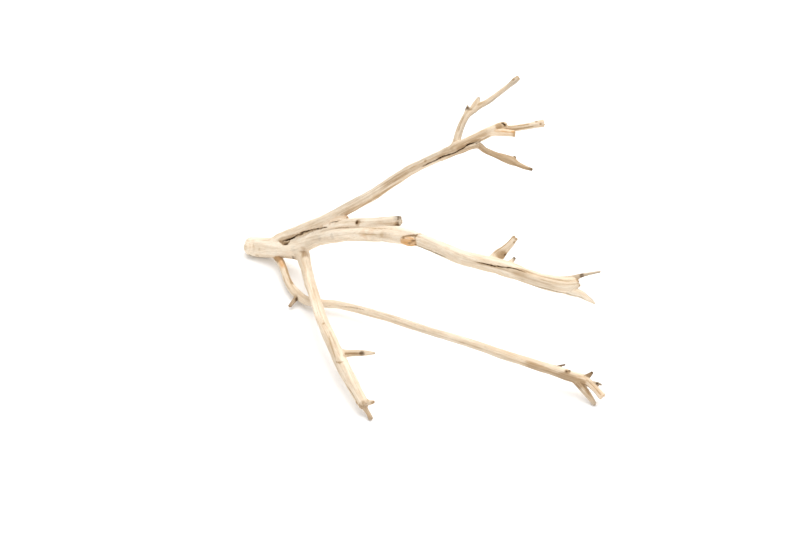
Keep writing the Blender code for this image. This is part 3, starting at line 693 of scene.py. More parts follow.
@dataclass
class LowLimb(LimbGroup):
    """The long thin limb that runs out near the surface to a splayed end."""

    course: Sequence[Station] = (
        (20.5, 0, 11, 5.6), (25.8, -11, 11, 4.9), (31, -22, 11.8, 4.8), (35.4, -35, 12, 4.9), (45, -68, 9.5, 5.0),
        (54, -84, 8, 5.3), (67, -100, 8.5, 5.3), (86, -109, 11, 4.7), (107, -116, 14, 4.4), (154, -144, 20, 4.4),
        (199, -175, 25, 4.6), (247, -201, 27, 5.0), (296, -227, 26, 5.4), (346, -248, 22, 5.8),
        (361, -254, 20, 6.2), (375, -257, 17.5, 5.6))
    elbow_stub: Sequence[Station] = ((56, -92, 8, 3.4), (52, -99, 6.5, 2.4), (47.5, -106, 4.5, 2.0))
    foot_twig: Sequence[Station] = ((366.5, -255, 17, 4.8), (377.8, -268, 9.5, 4.0), (386.8, -280, 2.2, 2.3))
    splayed_twig: Sequence[Station] = (
        (364, -254, 19, 5.0), (377.5, -260, 19, 4.6), (387, -268.5, 15.2, 3.8), (395, -277.5, 10.5, 4.2))
    upper_nub: Sequence[Station] = ((375, -258, 19.5, 3.2), (381.2, -257, 22.8, 2.6), (385.4, -255, 26, 1.3))
    side_nub: Sequence[Station] = ((381, -264, 18, 2.4), (390, -265.6, 18.9, 1.7), (394.4, -267, 18.2, 1.0))
    back_twiglet: Sequence[Station] = ((343.6, -247.4, 22, 2.0), (347.4, -246, 26, 1.4), (356.6, -244.4, 28, 0.9))

    def __post_init__(self) -> None:
        """Lists the limb, its twigs and nubs, and their marks."""
        self.limbs = [
            Limb("low_limb", self.course, 5, torn=2.0, brown=0.29, grey=0.04, fillet=1.2,
                 tip=(StainAndShade.ORANGE, 9.0, 0.3)),
            Limb("elbow_stub", self.elbow_stub, 24, torn=0.8, brown=0.8, grey=0.6, dark=0.12, fillet=0.8,
                 tip=(StainAndShade.BROWN, 3.0, 0.5)),
            Limb("foot_twig", self.foot_twig, 25, brown=0.62, grey=0.25, fillet=1.5, tip=(StainAndShade.GREY, 7.0, 0.9)),
            Limb("splayed_twig", self.splayed_twig, 26, torn=1.6, brown=0.1, orange=0.22, fillet=1.2),
            Limb("upper_nub", self.upper_nub, 27, brown=1.0, dark=0.5, fillet=0.8, tip=(StainAndShade.DARK, 2.6, 0.5)),
            Limb("side_nub", self.side_nub, 28, brown=0.5, dark=0.4, fillet=0.8, tip=(StainAndShade.GREY, 3.0, 0.7)),
            Limb("back_twiglet", self.back_twiglet, 29, brown=0.9, dark=0.8, fillet=0.6),
        ]
        self.splits = [
            Split(((376, -265, 17.5, 0.5, 0.8), (380, -268.5, 15, 0.7, 1.4), (385, -273, 12, 0.7, 1.4),
                   (391, -279, 9, 0.5, 1.0)), StainAndShade.BROWN, 0.9),
            Split(((112, -123, 17, 0.4, 0.4), (117, -125, 18, 0.5, 0.7), (123, -128, 19, 0.5, 0.8),
                   (128, -131, 20, 0.5, 0.7), (136, -136, 21, 0.4, 0.4)), StainAndShade.BROWN, 0.6),
        ]
        self.streaks = [
            Streak("low_limb", ((18, -6), (30, 10), (46, 8)), 4.0, StainAndShade.ORANGE, 0.95, 0.0, 8),
            # Partly painted shadow, partly the root's own brown wood: the brown where the low limb's root passes
            # under the trunk.
            Streak("low_limb", ((14, 0), (24, 4), (32, 4)), 6.0, StainAndShade.BROWN, 1.0, 0.0, 5),
            Streak("low_limb", ((22, 50), (40, 54), (80, 56)), 1.8, StainAndShade.BROWN, 0.7, 0.2, 6),
            Streak("low_limb", ((60, -30), (84, -30), (104, -40)), 1.2, StainAndShade.BROWN, 0.3, 0.2, 8),
            Streak("low_limb", ((190, 40), (240, 30), (300, 24)), 1.0, StainAndShade.BROWN, 0.22, 0.2, 16),
            Streak("low_limb", ((250, -56), (330, -60), (400, -60), (446, -56)), 2.2, StainAndShade.GREY, 0.4, 0.15, 20),
            Streak("low_limb", ((230, -14), (310, -20), (400, -24)), 1.0, StainAndShade.BROWN, 0.24, 0.2, 16),
            Streak("low_limb", ((330, 20), (380, 14), (426, 6)), 1.0, StainAndShade.BROWN, 0.22, 0.2, 14),
            Streak("low_limb", ((396, -50), (430, -36), (456, -40)), 4.4, StainAndShade.BROWN, 0.55, 0.1, 14),
            Streak("low_limb", ((436, -30), (450, -20), (462, -10)), 5.5, StainAndShade.BROWN, 0.6, 0.1, 8),
            Streak("low_limb", ((430, -30), (448, -24), (462, -20)), 6.5, StainAndShade.GREY, 0.5, 0.0, 8),
            Streak("foot_twig", ((-3, 0), (6, 0), (12, 0)), 6.0, StainAndShade.BROWN, 0.9, 0.0, 6),
            Streak("splayed_twig", ((-3, -34), (8, -34), (18, -44)), 3.2, StainAndShade.BROWN, 1.0, 0.0, 6),
            Streak("foot_twig", ((2, 40), (14, 30), (24, 20)), 1.4, StainAndShade.BROWN, 0.8, 0.3, 4),
            Streak("foot_twig", ((4, -40), (20, -44)), 1.2, StainAndShade.GREY, 0.6, 0.2, 4),
            Streak("splayed_twig", ((14, -60), (28, -76), (40, -80)), 1.0, StainAndShade.BROWN, 0.9, 0.2, 4),
            Streak("splayed_twig", ((16, 10), (30, 0), (40, -8)), 0.8, StainAndShade.BROWN, 0.6, 0.25, 4),
        ]
        self.spots = [
            Spot("low_limb", 441.8, 40, 1.2, 0.7, StainAndShade.DARK, 0.95),
            Spot("low_limb", 444.8, 57, 1.2, 0.7, StainAndShade.DARK, 0.95),
            Spot("low_limb", 442.8, 46, 2.8, 0.0, StainAndShade.BROWN, 0.7),
            Spot("elbow_stub", 4.5, 40, 2.6, -0.4, StainAndShade.DARK, 1.0), Spot("low_limb", 101, -40, 2.0, -0.3, StainAndShade.DARK, 0.8),
            Spot("side_nub", 9, 10, 1.3, 0.3, StainAndShade.DARK, 0.95),
            Spot("upper_nub", 15.5, 60, 1.6, 0.3, StainAndShade.DARK, 0.6),
        ]


@dataclass
class Skin:
    """The whole branch as one skin: which limbs it joins, and how finely it is made."""

    groups: Sequence[LimbGroup]
    voxel: float = 0.75
    tube_sides: int = 28
    tube_spacing: float = 1.0
    passes: int = 3
    longest_step: float = 1.2
    triangles_aim: int = 186_000
    rim_brown: float = 0.4
    split_margins: tuple[float, float] = (1.2, 0.5)

    def __post_init__(self) -> None:
        """Gathers the limbs and carries the grain on from each limb into its twigs."""
        self.limbs = [limb for group in self.groups for limb in group.limbs]
        self.named = {limb.name: limb for limb in self.limbs}
        self.splits = [split for group in self.groups for split in group.splits]
        self.streaks = [streak for group in self.groups for streak in group.streaks]
        self.spots = [spot for group in self.groups for spot in group.spots]
        for place, limb in enumerate(self.limbs[1:], start=1):
            parents = [(np.linalg.norm(other.centre - limb.centre[0], axis=1) - other.radius,
                        other) for other in self.limbs[:place]]
            gaps, parent = min(parents, key=lambda pair: pair[0].min())
            limb.offset = parent.offset + parent.distance[gaps.argmin()]
        self.lines = self.laid([split.rows() for split in self.splits])

    def laid(self, lines: Sequence[Numbers]) -> list[Numbers]:
        """Brings lines that lie near the skin onto it.

        Args:
            lines: Rows along each line, which start with x, y and z.

        Returns:
            The same rows in their places on the skin.
        """
        rows = np.vstack(lines)
        for _ in range(4):
            gap = self.gap(rows[:, :3])
            slope = np.stack([self.gap(rows[:, :3] + nudge) - gap for nudge in 0.4 * np.eye(3)], axis=1)
            slope /= np.maximum(np.linalg.norm(slope, axis=1), 1e-9)[:, None]
            rows[:, :3] -= np.clip(gap, -2, 2)[:, None] * slope
        return np.split(rows, np.cumsum([len(line) for line in lines])[:-1])

    def gap(self, points: Numbers) -> Numbers:
        """The distance from the joined skin before it is split, below nought inside it, in millimetres."""
        joined = np.full(len(points), FAR)
        for limb in self.limbs:
            places = limb.locate(points)
            here = places.index
            joined[here] = melt(joined[here], limb.skin_gap(places) - self.relief(limb, places), limb.fillet)
        return joined

    def relief(self, limb: Limb, places: Places) -> Numbers:
        """How far a limb's streaks and spots raise its skin, in millimetres."""
        raised = np.zeros(len(places.index))
        for streak in self.streaks:
            if streak.limb == limb.name and streak.depth:
                raised -= streak.depth * self.streak_share(streak, places)
        for spot in self.spots:
            if spot.limb == limb.name:
                away = self.spot_distance(spot, places) / spot.radius
                raised += spot.height * ease(1.6 - away)
                if spot.height > 0:
                    raised -= 0.5 * spot.height * np.exp(-((away - 1.5) / 0.35)**2)
        return raised

    def streak_share(self, streak: Streak, places: Places) -> Numbers:
        """How fully each place lies in a streak, from 0 to 1."""
        along, degrees = np.array(streak.path, float).T
        line = np.radians(np.interp(places.along, along, degrees))
        aside = np.abs(wrapped(places.angle - line)) * places.radius
        wander = lattice_noise(np.stack((places.along / 7, 0 * aside, 0 * aside), axis=1), len(along))
        within = ease(1.5 - aside / (streak.half_width * (1 + 0.35 * wander)))
        return within * ease((places.along - along[0]) / streak.fade + 0.5) * ease(
            (along[-1] - places.along) / streak.fade + 0.5)

    @staticmethod
    def spot_distance(spot: Spot, places: Places) -> Numbers:
        """How far each place is from the middle of a spot along the skin, in millimetres."""
        aside = wrapped(places.angle - math.radians(spot.degrees)) * places.radius
        return np.hypot(places.along - spot.along, aside)

    def tube_curves(self) -> bpy.types.Object:
        """A curve object with one line along each limb, which carries the limb's radius."""
        data = bpy.data.curves.new("limb_courses", "CURVE")
        data.dimensions = "3D"
        for limb in self.limbs:
            rows = limb.tube_rows()
            line = data.splines.new("POLY")
            line.points.add(len(rows) - 1)
            line.points.foreach_set("co", np.column_stack((rows[:, :3] * MM, np.ones(len(rows)))).ravel())
            line.points.foreach_set("radius", rows[:, 3] * MM)
        curves = bpy.data.objects.new("limb_courses", data)
        bpy.context.scene.collection.objects.link(curves)
        return curves

    def rough_skin(self, wood: bpy.types.Material) -> bpy.types.Mesh:
        """Tubes along every limb, melted into one closed skin."""
        curves = self.tube_curves()
        tubes = apply_tree(curves, LimbTubes().tree(), {"Ring spacing": self.tube_spacing * MM,
                                                        "Sides": self.tube_sides, "Wood": wood})
        holder = bpy.data.objects.new("rough_skin", tubes)
        bpy.context.scene.collection.objects.link(holder)
        melting = holder.modifiers.new("melt", "REMESH")
        melting.mode = "VOXEL"
        melting.voxel_size = self.voxel * MM
        mesh = plain_mesh(holder)
        bpy.data.objects.remove(holder)
        return mesh

    def refine_along_splits(self, mesh: bpy.types.Mesh) -> None:
        """Makes the skin finer where it is to be split."""
        shape = bmesh.new()
        shape.from_mesh(mesh)
        for margin in self.split_margins:
            points = np.array([vertex.co[:] for vertex in shape.verts]) / MM
            near = np.zeros(len(points), bool)
            for rows in self.lines:
                index, aside, nearest = beside(points, rows, rows[:, 3].max() + margin)
                near[index[aside < rows[nearest, 3] + margin]] = True
            edges = [edge for edge in shape.edges if near[edge.verts[0].index] and near[edge.verts[1].index]]
            bmesh.ops.subdivide_edges(shape, edges=edges, cuts=1, use_grid_fill=True)
            shape.verts.index_update()
        bmesh.ops.triangulate(shape, faces=shape.faces[:])
        shape.to_mesh(mesh)
        shape.free()

    def settle(self, points: Numbers, triangles: Numbers) -> Numbers:
        """Brings the rough skin onto the worn skin, with its ridges, fillets and broken faces."""
        for _ in range(self.passes):
            gap = np.clip(self.gap(points), -self.longest_step, self.longest_step)
            points = points - gap[:, None] * vertex_normals(points, triangles)
        return points

    def split(self, points: Numbers, triangles: Numbers) -> Numbers:
        """Opens the splits in the skin."""
        moved, normals = points.copy(), vertex_normals(points, triangles)
        for rows in self.lines:
            index, aside, nearest = beside(points, rows, rows[:, 3].max())
            share = np.clip(1 - aside / np.maximum(rows[nearest, 3], 1e-6), 0, 1)**0.7
            moved[index] -= (share * rows[nearest, 4])[:, None] * normals[index]
        return moved

    def beside_cracks(self, points: Numbers) -> list[int]:
        """The numbers of the points that lie in or beside the dark cracks."""
        near = np.zeros(len(points), bool)
        for split, rows in zip(self.splits, self.lines):
            if split.stain_and_shade is StainAndShade.DARK:
                index, aside, nearest = beside(points, rows, rows[:, 3].max() + 0.3)
                near[index[aside < rows[nearest, 3] + 0.3]] = True
        return np.flatnonzero(near).tolist()

    def thinned(self, mesh: bpy.types.Mesh, kept: list[int]) -> bpy.types.Mesh:
        """The same skin with fewer triangles, apart from those round the points that are kept."""
        mesh.calc_loop_triangles()
        holder = bpy.data.objects.new("full_skin", mesh)
        bpy.context.scene.collection.objects.link(holder)
        holder.vertex_groups.new(name="cracks").add(kept, 1.0, "REPLACE")
        thinning = holder.modifiers.new("thin", "DECIMATE")
        thinning.vertex_group, thinning.invert_vertex_group = "cracks", True
        thinning.ratio = min(1.0, self.triangles_aim / len(mesh.loop_triangles))
        log.info("full skin: %d triangles, %d points kept", len(mesh.loop_triangles), len(kept))
        thin = plain_mesh(holder)
        bpy.data.objects.remove(holder)
        return thin

    def stains_and_shade(self, points: Numbers) -> dict[str, Numbers]:
        """What the wood's finish reads at each point.

        Args:
            points: The finished skin's points, in millimetres.

        Returns:
            The attributes by name: the place in the grain, the colours stained and the painted shade among them, how
                worn the wood is
            and how deep in a crack or pit it lies, which the finish darkens as painted shade.
        """
        count = len(points)
        total, joined = np.full(count, 1e-9), np.full(count, FAR)
        grain, stain_and_shade, worn = np.zeros((count, 3)), np.zeros((count, 4)), np.zeros(count)
        for limb in self.limbs:
            places = limb.locate(points)
            here = places.index
            gap = limb.skin_gap(places) - self.relief(limb, places)
            joined[here] = melt(joined[here], gap, limb.fillet)
            weight = np.exp(-np.maximum(gap, -0.5) / 0.55)
            own = np.zeros((len(here), 4))
            own[:] = (limb.brown, limb.grey, limb.orange, limb.dark)
            if limb.tip:
                kind, reach, strength = limb.tip
                own[:, kind.value] += strength * ease((places.along - limb.length + reach) / reach)
            for streak in self.streaks:
                if streak.limb == limb.name:
                    own[:, streak.stain_and_shade.value] += streak.strength * self.streak_share(streak, places)
            for spot in self.spots:
                if spot.limb == limb.name:
                    away = self.spot_distance(spot, places) / spot.radius
                    own[:, spot.stain_and_shade.value] += spot.strength * ease(1.6 - away)
            total[here] += weight
            stain_and_shade[here] += weight[:, None] * own
            worn[here] += weight * limb.ridges(places) * 10
            across = places.across(1.0)
            across[:, 2] += limb.offset
            grain[here] += weight[:, None] * across
        stain_and_shade /= total[:, None]
        for split, rows in zip(self.splits, self.lines):
            index, aside, nearest = beside(points, rows, 2 * rows[:, 3].max())
            share = ease(split.spill - aside / np.maximum(rows[nearest, 3], 0.1))
            stain_and_shade[index, split.stain_and_shade.value] += split.strength * share
            if split.stain_and_shade is StainAndShade.DARK:
                rim = ease(2.3 - aside / np.maximum(rows[nearest, 3], 0.1))
                stain_and_shade[index, StainAndShade.BROWN.value] += self.rim_brown * split.strength * rim
        return {"grain": grain / total[:, None], "stain_and_shade": np.clip(stain_and_shade, 0, 1),
                "worn": worn / total, "depth": np.maximum(-joined, 0)}

    def build(self, wood: bpy.types.Material) -> bpy.types.Object:
        """Makes the branch's one piece."""
        mesh = self.rough_skin(wood)
        self.refine_along_splits(mesh)
        mesh.calc_loop_triangles()
        triangles = np.empty(len(mesh.loop_triangles) * 3, np.int32)
        mesh.loop_triangles.foreach_get("vertices", triangles)
        triangles = triangles.reshape(-1, 3)
        points = self.settle(points_of(mesh), triangles)
        kept = self.beside_cracks(points)
        points = self.split(points, triangles)
        points[:, 2] = np.maximum(points[:, 2], 0)
        place_points(mesh, points * MM)
        mesh = self.thinned(mesh, kept)
        points = points_of(mesh)
        for name, values in self.stains_and_shade(points).items():
            kind = {1: "FLOAT", 3: "FLOAT_VECTOR", 4: "FLOAT_COLOR"}[1 if values.ndim == 1 else values.shape[1]]
            layer = mesh.attributes.new(name, kind, "POINT")
            reads = {"FLOAT": "value", "FLOAT_VECTOR": "vector", "FLOAT_COLOR": "color"}[kind]
            layer.data.foreach_set(reads, values.astype(np.float32).ravel())
        place_points(mesh, (points - OUTLINE_MIDDLE) * MM)
        mesh.shade_smooth()
        mesh.set_sharp_from_angle(angle=math.radians(62))
        return finished_piece("driftwood_branch", mesh, wood)


@dataclass
class TornFibres:
    """Slivers that stand out of the torn ends."""

    limbs: Sequence[Limb]
    thickness: float = 0.32
    per_area: float = 0.32
    seed: int = 5

    def roots(self) -> bpy.types.Object:
        """Points on the torn faces, with which way each sliver leans and how long it is."""
        draw = np.random.default_rng(self.seed)
        places, leans, lengths = [], [], []
        for limb in self.limbs:
            if limb.ending is not Ending.TORN or limb.torn < 1.5:
                continue
            radius = limb.radius[-1]
            for _ in range(int(self.per_area * math.pi * radius**2)):
                turn, share = draw.uniform(0, math.tau), math.sqrt(draw.uniform(0.1, 0.82))
                aside = math.cos(turn) * limb.front[-1] + math.sin(turn) * limb.upward[-1]
                places.append(limb.centre[-1] + radius * share * aside - 0.8 * limb.torn * limb.along[-1])
                leans.append(limb.along[-1] + 0.16 * aside + draw.normal(0, 0.07, 3))
                lengths.append(limb.torn * draw.uniform(1.0, 1.75))
        mesh = bpy.data.meshes.new("fibre_roots")
        mesh.from_pydata([tuple(place) for place in (np.array(places) - OUTLINE_MIDDLE) * MM], [], [])
        lean = mesh.attributes.new("lean", "FLOAT_VECTOR", "POINT")
        lean.data.foreach_set("vector", np.array(leans, np.float32).ravel())
        length = mesh.attributes.new("length", "FLOAT", "POINT")
        length.data.foreach_set("value", np.array(lengths, np.float32) * MM)
        roots = bpy.data.objects.new("fibre_roots", mesh)
        bpy.context.scene.collection.objects.link(roots)
        return roots

    def build(self, wood: bpy.types.Material) -> bpy.types.Object:
        """Makes the slivers as one piece."""
        mesh = apply_tree(self.roots(), Slivers().tree(), {"Thickness": self.thickness * MM,
                                                           "Seed": self.seed, "Wood": wood})
        return finished_piece("torn_fibres", mesh, wood)


class Bench:
    """Lays nodes in a tree and joins them."""

    def __init__(self, tree: bpy.types.NodeTree) -> None:
        """Takes the tree to work on."""
        self.tree = tree

    def add(self, kind: str, feeds: dict | None = None, **settings: object) -> bpy.types.Node:
        """Adds a node.

        Args:
            kind: The node's type.
            feeds: What goes into its sockets, by name or number: another socket or a value.
            settings: Its own settings.

        Returns:
            The node.
        """
        node = self.tree.nodes.new(kind)
        for name, value in settings.items():
            setattr(node, name, value)
        for key, value in (feeds or {}).items():
            if isinstance(value, bpy.types.NodeSocket):
                self.tree.links.new(value, node.inputs[key])
            else:
                node.inputs[key].default_value = value
        return node

    def sum(self, operation: str, *terms: object, clamp: bool = False) -> bpy.types.NodeSocket:
        """One step of arithmetic on up to three terms."""
        return self.add("ShaderNodeMath", dict(enumerate(terms)), operation=operation, use_clamp=clamp).outputs[0]

    def noise(self, place: bpy.types.NodeSocket, stretch: Colour, detail: float) -> bpy.types.NodeSocket:
        """Noise from 0 to 1 whose swells are stretched along each axis."""
        scaled = self.add("ShaderNodeVectorMath", {0: place, 1: stretch}, operation="MULTIPLY").outputs[0]
        return self.add("ShaderNodeTexNoise", {"Vector": scaled, "Scale": 1.0, "Detail": detail,
                                               "Roughness": 0.55}).outputs["Fac"]

    def fit(self, value: bpy.types.NodeSocket, low: float, high: float, start: float = 0.0,
            end: float = 1.0) -> bpy.types.NodeSocket:
        """Carries the range from low to high over to the range from start to end, and holds it there."""
        return self.add("ShaderNodeMapRange", {"Value": value, "From Min": low, "From Max": high,
                                               "To Min": start, "To Max": end}).outputs["Result"]

    def blend(self, share: object, first: object, second: object, way: str = "MIX") -> bpy.types.NodeSocket:
        """Mixes two colours."""
        colours = [(*each, 1.0) if isinstance(each, tuple) else each for each in (first, second)]
        return self.add("ShaderNodeMix", {0: share, 6: colours[0], 7: colours[1]}, data_type="RGBA",
                        blend_type=way).outputs[2]

    def attribute(self, name: str) -> bpy.types.Node:
        """Reads one of the piece's own attributes."""
        return self.add("ShaderNodeAttribute", attribute_name=name)


def new_tree(name: str, inputs: dict[str, str]) -> tuple[Bench, bpy.types.Node]:
    """Starts a Geometry Nodes tree.

    Args:
        name: The tree's name.
        inputs: The kind of socket of each named input, after the geometry.

    Returns:
        The bench to build it on, and its group input node.
    """
    tree = bpy.data.node_groups.new(name, "GeometryNodeTree")
    tree.is_modifier = True
    tree.interface.new_socket("Geometry", in_out="INPUT", socket_type="NodeSocketGeometry")
    for label, kind in inputs.items():
        tree.interface.new_socket(label, in_out="INPUT", socket_type=kind)
    tree.interface.new_socket("Geometry", in_out="OUTPUT", socket_type="NodeSocketGeometry")
    bench = Bench(tree)
    return bench, bench.add("NodeGroupInput")


def close_tree(bench: Bench, shape: bpy.types.NodeSocket, wood: bpy.types.NodeSocket) -> bpy.types.NodeTree:
    """Ends a tree with real geometry that has its material."""
    real = bench.add("GeometryNodeRealizeInstances", {0: shape}).outputs[0]
    dressed = bench.add("GeometryNodeSetMaterial", {"Geometry": real, "Material": wood}).outputs[0]
    bench.add("NodeGroupOutput", {0: dressed})
    return bench.tree


def plain_mesh(holder: bpy.types.Object) -> bpy.types.Mesh:
    """The object's shape with its modifiers applied, as a mesh of its own."""
    bpy.context.view_layer.update()
    evaluated = holder.evaluated_get(bpy.context.evaluated_depsgraph_get())
    return bpy.data.meshes.new_from_object(evaluated)


def apply_tree(holder: bpy.types.Object, tree: bpy.types.NodeTree, values: dict[str, object]) -> bpy.types.Mesh:
    """Runs a tree on an object and removes the object.

    Args:
        holder: The object that the tree starts from.
        tree: The tree.
        values: What its named inputs hold.

    Returns:
        The result as a plain mesh.
    """
    modifier = holder.modifiers.new(tree.name, "NODES")
    modifier.node_group = tree
    for socket in tree.interface.items_tree:
        if socket.in_out == "INPUT" and socket.name in values:
            modifier[socket.identifier] = values[socket.name]
    mesh = plain_mesh(holder)
    bpy.data.objects.remove(holder)
    return mesh


class LimbTubes:
    """Tubes that follow the limbs' courses and take their radius."""

    def tree(self) -> bpy.types.NodeTree:
        """Builds the tree."""
        bench, given = new_tree("limb_tubes", {"Ring spacing": "NodeSocketFloat", "Sides": "NodeSocketInt",
                                               "Wood": "NodeSocketMaterial"})
        even = bench.add("GeometryNodeResampleCurve", {"Curve": given.outputs["Geometry"]}, mode="LENGTH")
        bench.tree.links.new(given.outputs["Ring spacing"], even.inputs["Length"])
        ring = bench.add("GeometryNodeCurvePrimitiveCircle", {"Resolution": given.outputs["Sides"], "Radius": 1.0})
        tube = bench.add("GeometryNodeCurveToMesh", {"Curve": even.outputs[0], "Profile Curve": ring.outputs[0],
                                                     "Fill Caps": True})
        if "Scale" in tube.inputs:
            radius = bench.add("GeometryNodeInputRadius")
            bench.tree.links.new(radius.outputs[0], tube.inputs["Scale"])
        return close_tree(bench, tube.outputs[0], given.outputs["Wood"])


class Slivers:
    """Thin tapered slivers on points, each leaning its own way."""

    def tree(self) -> bpy.types.NodeTree:
        """Builds the tree."""
        bench, given = new_tree("slivers", {"Thickness": "NodeSocketFloat", "Seed": "NodeSocketInt",
                                            "Wood": "NodeSocketMaterial"})
        points = bench.add("GeometryNodeMeshToPoints", {"Mesh": given.outputs["Geometry"]})
        sliver = bench.add("GeometryNodeMeshCone", {"Vertices": 5, "Side Segments": 3, "Fill Segments": 1,
                                                    "Radius Top": 0.12, "Radius Bottom": 1.0, "Depth": 1.0})
        lean = bench.add("GeometryNodeInputNamedAttribute", {"Name": "lean"}, data_type="FLOAT_VECTOR")
        length = bench.add("GeometryNodeInputNamedAttribute", {"Name": "length"}, data_type="FLOAT")
        turned = bench.add("FunctionNodeAlignRotationToVector", {"Vector": lean.outputs["Attribute"]}, axis="Z")
        vary = bench.add("FunctionNodeRandomValue", {"Min": 0.6, "Max": 1.3, "Seed": given.outputs["Seed"]},
                         data_type="FLOAT")
        thick = bench.add("ShaderNodeMath", {0: given.outputs["Thickness"], 1: vary.outputs[1]},
                          operation="MULTIPLY").outputs[0]
        size = bench.add("ShaderNodeCombineXYZ", {"X": thick, "Y": thick, "Z": length.outputs["Attribute"]})
        placed = bench.add("GeometryNodeInstanceOnPoints", {
            "Points": points.outputs[0], "Instance": sliver.outputs["Mesh"], "Rotation": turned.outputs[0],
            "Scale": size.outputs[0]})
        return close_tree(bench, placed.outputs[0], given.outputs["Wood"])


def points_of(mesh: bpy.types.Mesh) -> Numbers:
    """A mesh's points in millimetres."""
    flat = np.empty(len(mesh.vertices) * 3, np.float32)
    mesh.vertices.foreach_get("co", flat)
    return flat.reshape(-1, 3).astype(float) / MM


def place_points(mesh: bpy.types.Mesh, points: Numbers) -> None:
    """Gives a mesh its points, in metres."""
    mesh.vertices.foreach_set("co", points.astype(np.float32).ravel())
    mesh.update()


def finished_piece(name: str, mesh: bpy.types.Mesh, finish: bpy.types.Material) -> bpy.types.Object:
    """A piece of the object, which rides on its body and stands for its solid."""
    mesh.name = name
    mesh.materials.clear()
    mesh.materials.append(finish)
    piece = bpy.data.objects.new(name, mesh)
    bpy.context.scene.collection.objects.link(piece)
    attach(piece, BODY)
    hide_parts(NODE)
    return piece


def new_material(name: str) -> tuple[bpy.types.Material, Bench, bpy.types.Node]:
    """A material with a bench on its nodes and its shader."""
    material = bpy.data.materials.new(name)
    material.use_nodes = True
    return material, Bench(material.node_tree), material.node_tree.nodes["Principled BSDF"]


@dataclass(frozen=True)
class WeatheredWood:
    """Bare wood, bleached to cream on its ridges, browner in its hollows and dark in its cracks, where painted shade
    deepens with the depth.
    """

    cream: Colour = (0.93, 0.83, 0.685)
    tan: Colour = (0.56, 0.41, 0.25)
    brown: Colour = (0.33, 0.21, 0.115)
    grey: Colour = (0.44, 0.375, 0.295)
    orange: Colour = (0.64, 0.31, 0.085)
    rosy: Colour = (0.98, 0.90, 0.84)
    # Dark wood, and also the painted shade deep in the cracks and pits.
    dark: Colour = (0.065, 0.03, 0.008)
    bump_height: float = 0.0003

    def material(self) -> bpy.types.Material:
        """Builds the finish."""
        material, bench, shader = new_material("weathered_wood")
        grain = bench.attribute("grain").outputs["Vector"]
        stain_and_shade = bench.attribute("stain_and_shade")
        parts = bench.add("ShaderNodeSeparateColor", {0: stain_and_shade.outputs["Color"]}).outputs
        brown, grey, orange, dark = parts[0], parts[1], parts[2], stain_and_shade.outputs["Alpha"]
        worn = bench.attribute("worn").outputs["Fac"]
        depth = bench.attribute("depth").outputs["Fac"]
        mottle = bench.noise(grain, (0.13, 0.13, 0.022), 3.0)
        streak = bench.noise(grain, (0.8, 0.8, 0.03), 4.0)
        fibre = bench.noise(grain, (3.4, 3.4, 0.12), 3.0)
        fleck = bench.noise(grain, (1.5, 1.5, 0.2), 2.0)
        blotch = bench.noise(grain, (0.26, 0.26, 0.13), 2.0)
        parts_of_grain = bench.add("ShaderNodeSeparateXYZ", {0: grain}).outputs
        from_pith = bench.sum("SQRT", bench.sum("MULTIPLY_ADD", parts_of_grain[0], parts_of_grain[0],
                                                bench.sum("MULTIPLY", parts_of_grain[1], parts_of_grain[1])))
        cut_end = bench.fit(parts_of_grain[2], -3.0, -0.6, 1.0, 0.0)
        ring = bench.sum("SINE", bench.sum("MULTIPLY_ADD", from_pith, 4.6, bench.sum("MULTIPLY", mottle, 9.0)))

        bare = bench.sum("MULTIPLY_ADD", mottle, 1.1, -0.40)
        bare = bench.sum("MULTIPLY_ADD", streak, 0.95, bare)
        bare = bench.sum("MULTIPLY_ADD", worn, -0.16, bare)
        bare = bench.sum("MULTIPLY_ADD", brown, 0.9, bare)
        bare = bench.sum("MULTIPLY_ADD", bench.sum("MULTIPLY", ring, cut_end), 0.16, bare)
        bare = bench.sum("SUBTRACT", bare, 0.46, clamp=True)
        colour = bench.blend(bare, self.cream, self.tan)
        colour = bench.blend(bench.fit(blotch, 0.35, 0.65, 0.0, 0.5), colour,
                             bench.blend(1.0, colour, self.rosy, "MULTIPLY"))
        lines = bench.fit(fibre, 0.3, 0.7, 0.88, 1.06)
        colour = bench.blend(1.0, colour, bench.add("ShaderNodeCombineColor", {0: lines, 1: lines, 2: lines}).outputs[0],
                             "MULTIPLY")
        patchy = bench.fit(streak, 0.35, 0.65, 0.35, 1.0)
        colour = bench.blend(bench.sum("MULTIPLY", grey, patchy), colour, self.grey)
        colour = bench.blend(bench.sum("MULTIPLY", orange, patchy), colour, self.orange)
        # Brown where the wood is stained, and on the same channel the painted shade in a few crotches and hollows.
        deep_brown = bench.sum("MULTIPLY", bench.fit(brown, 0.42, 1.0, 0.0, 0.95), patchy)
        colour = bench.blend(deep_brown, colour, self.brown)
        specks = bench.sum("MULTIPLY", bench.fit(fleck, 0.62, 0.74), 0.45)
        colour = bench.blend(specks, colour, self.brown)
        # Dark knots, tips and cracks, and the painted contact shadow under the butt and shade in the upper limb's
        # root hollow.
        colour = bench.blend(bench.sum("MULTIPLY", dark, bench.fit(streak, 0.3, 0.6, 0.6, 1.0)), colour, self.dark)
        # Painted shade: the deeper a point lies in an open crack or pit, the darker it is made.
        colour = bench.blend(bench.fit(depth, 0.4, 1.6), colour, self.dark)

        height = bench.sum("MULTIPLY_ADD", fibre, 0.45, bench.sum("MULTIPLY", streak, 0.6))
        height = bench.sum("MULTIPLY_ADD", specks, -0.5, height)
        bump = bench.add("ShaderNodeBump", {"Strength": 0.7, "Distance": self.bump_height, "Height": height})
        tree = material.node_tree
        tree.links.new(colour, shader.inputs["Base Color"])
        tree.links.new(bench.fit(fibre, 0.3, 0.7, 0.78, 0.95), shader.inputs["Roughness"])
        tree.links.new(bump.outputs[0], shader.inputs["Normal"])
        shader.inputs["Specular IOR Level"].default_value = 0.15
        return material


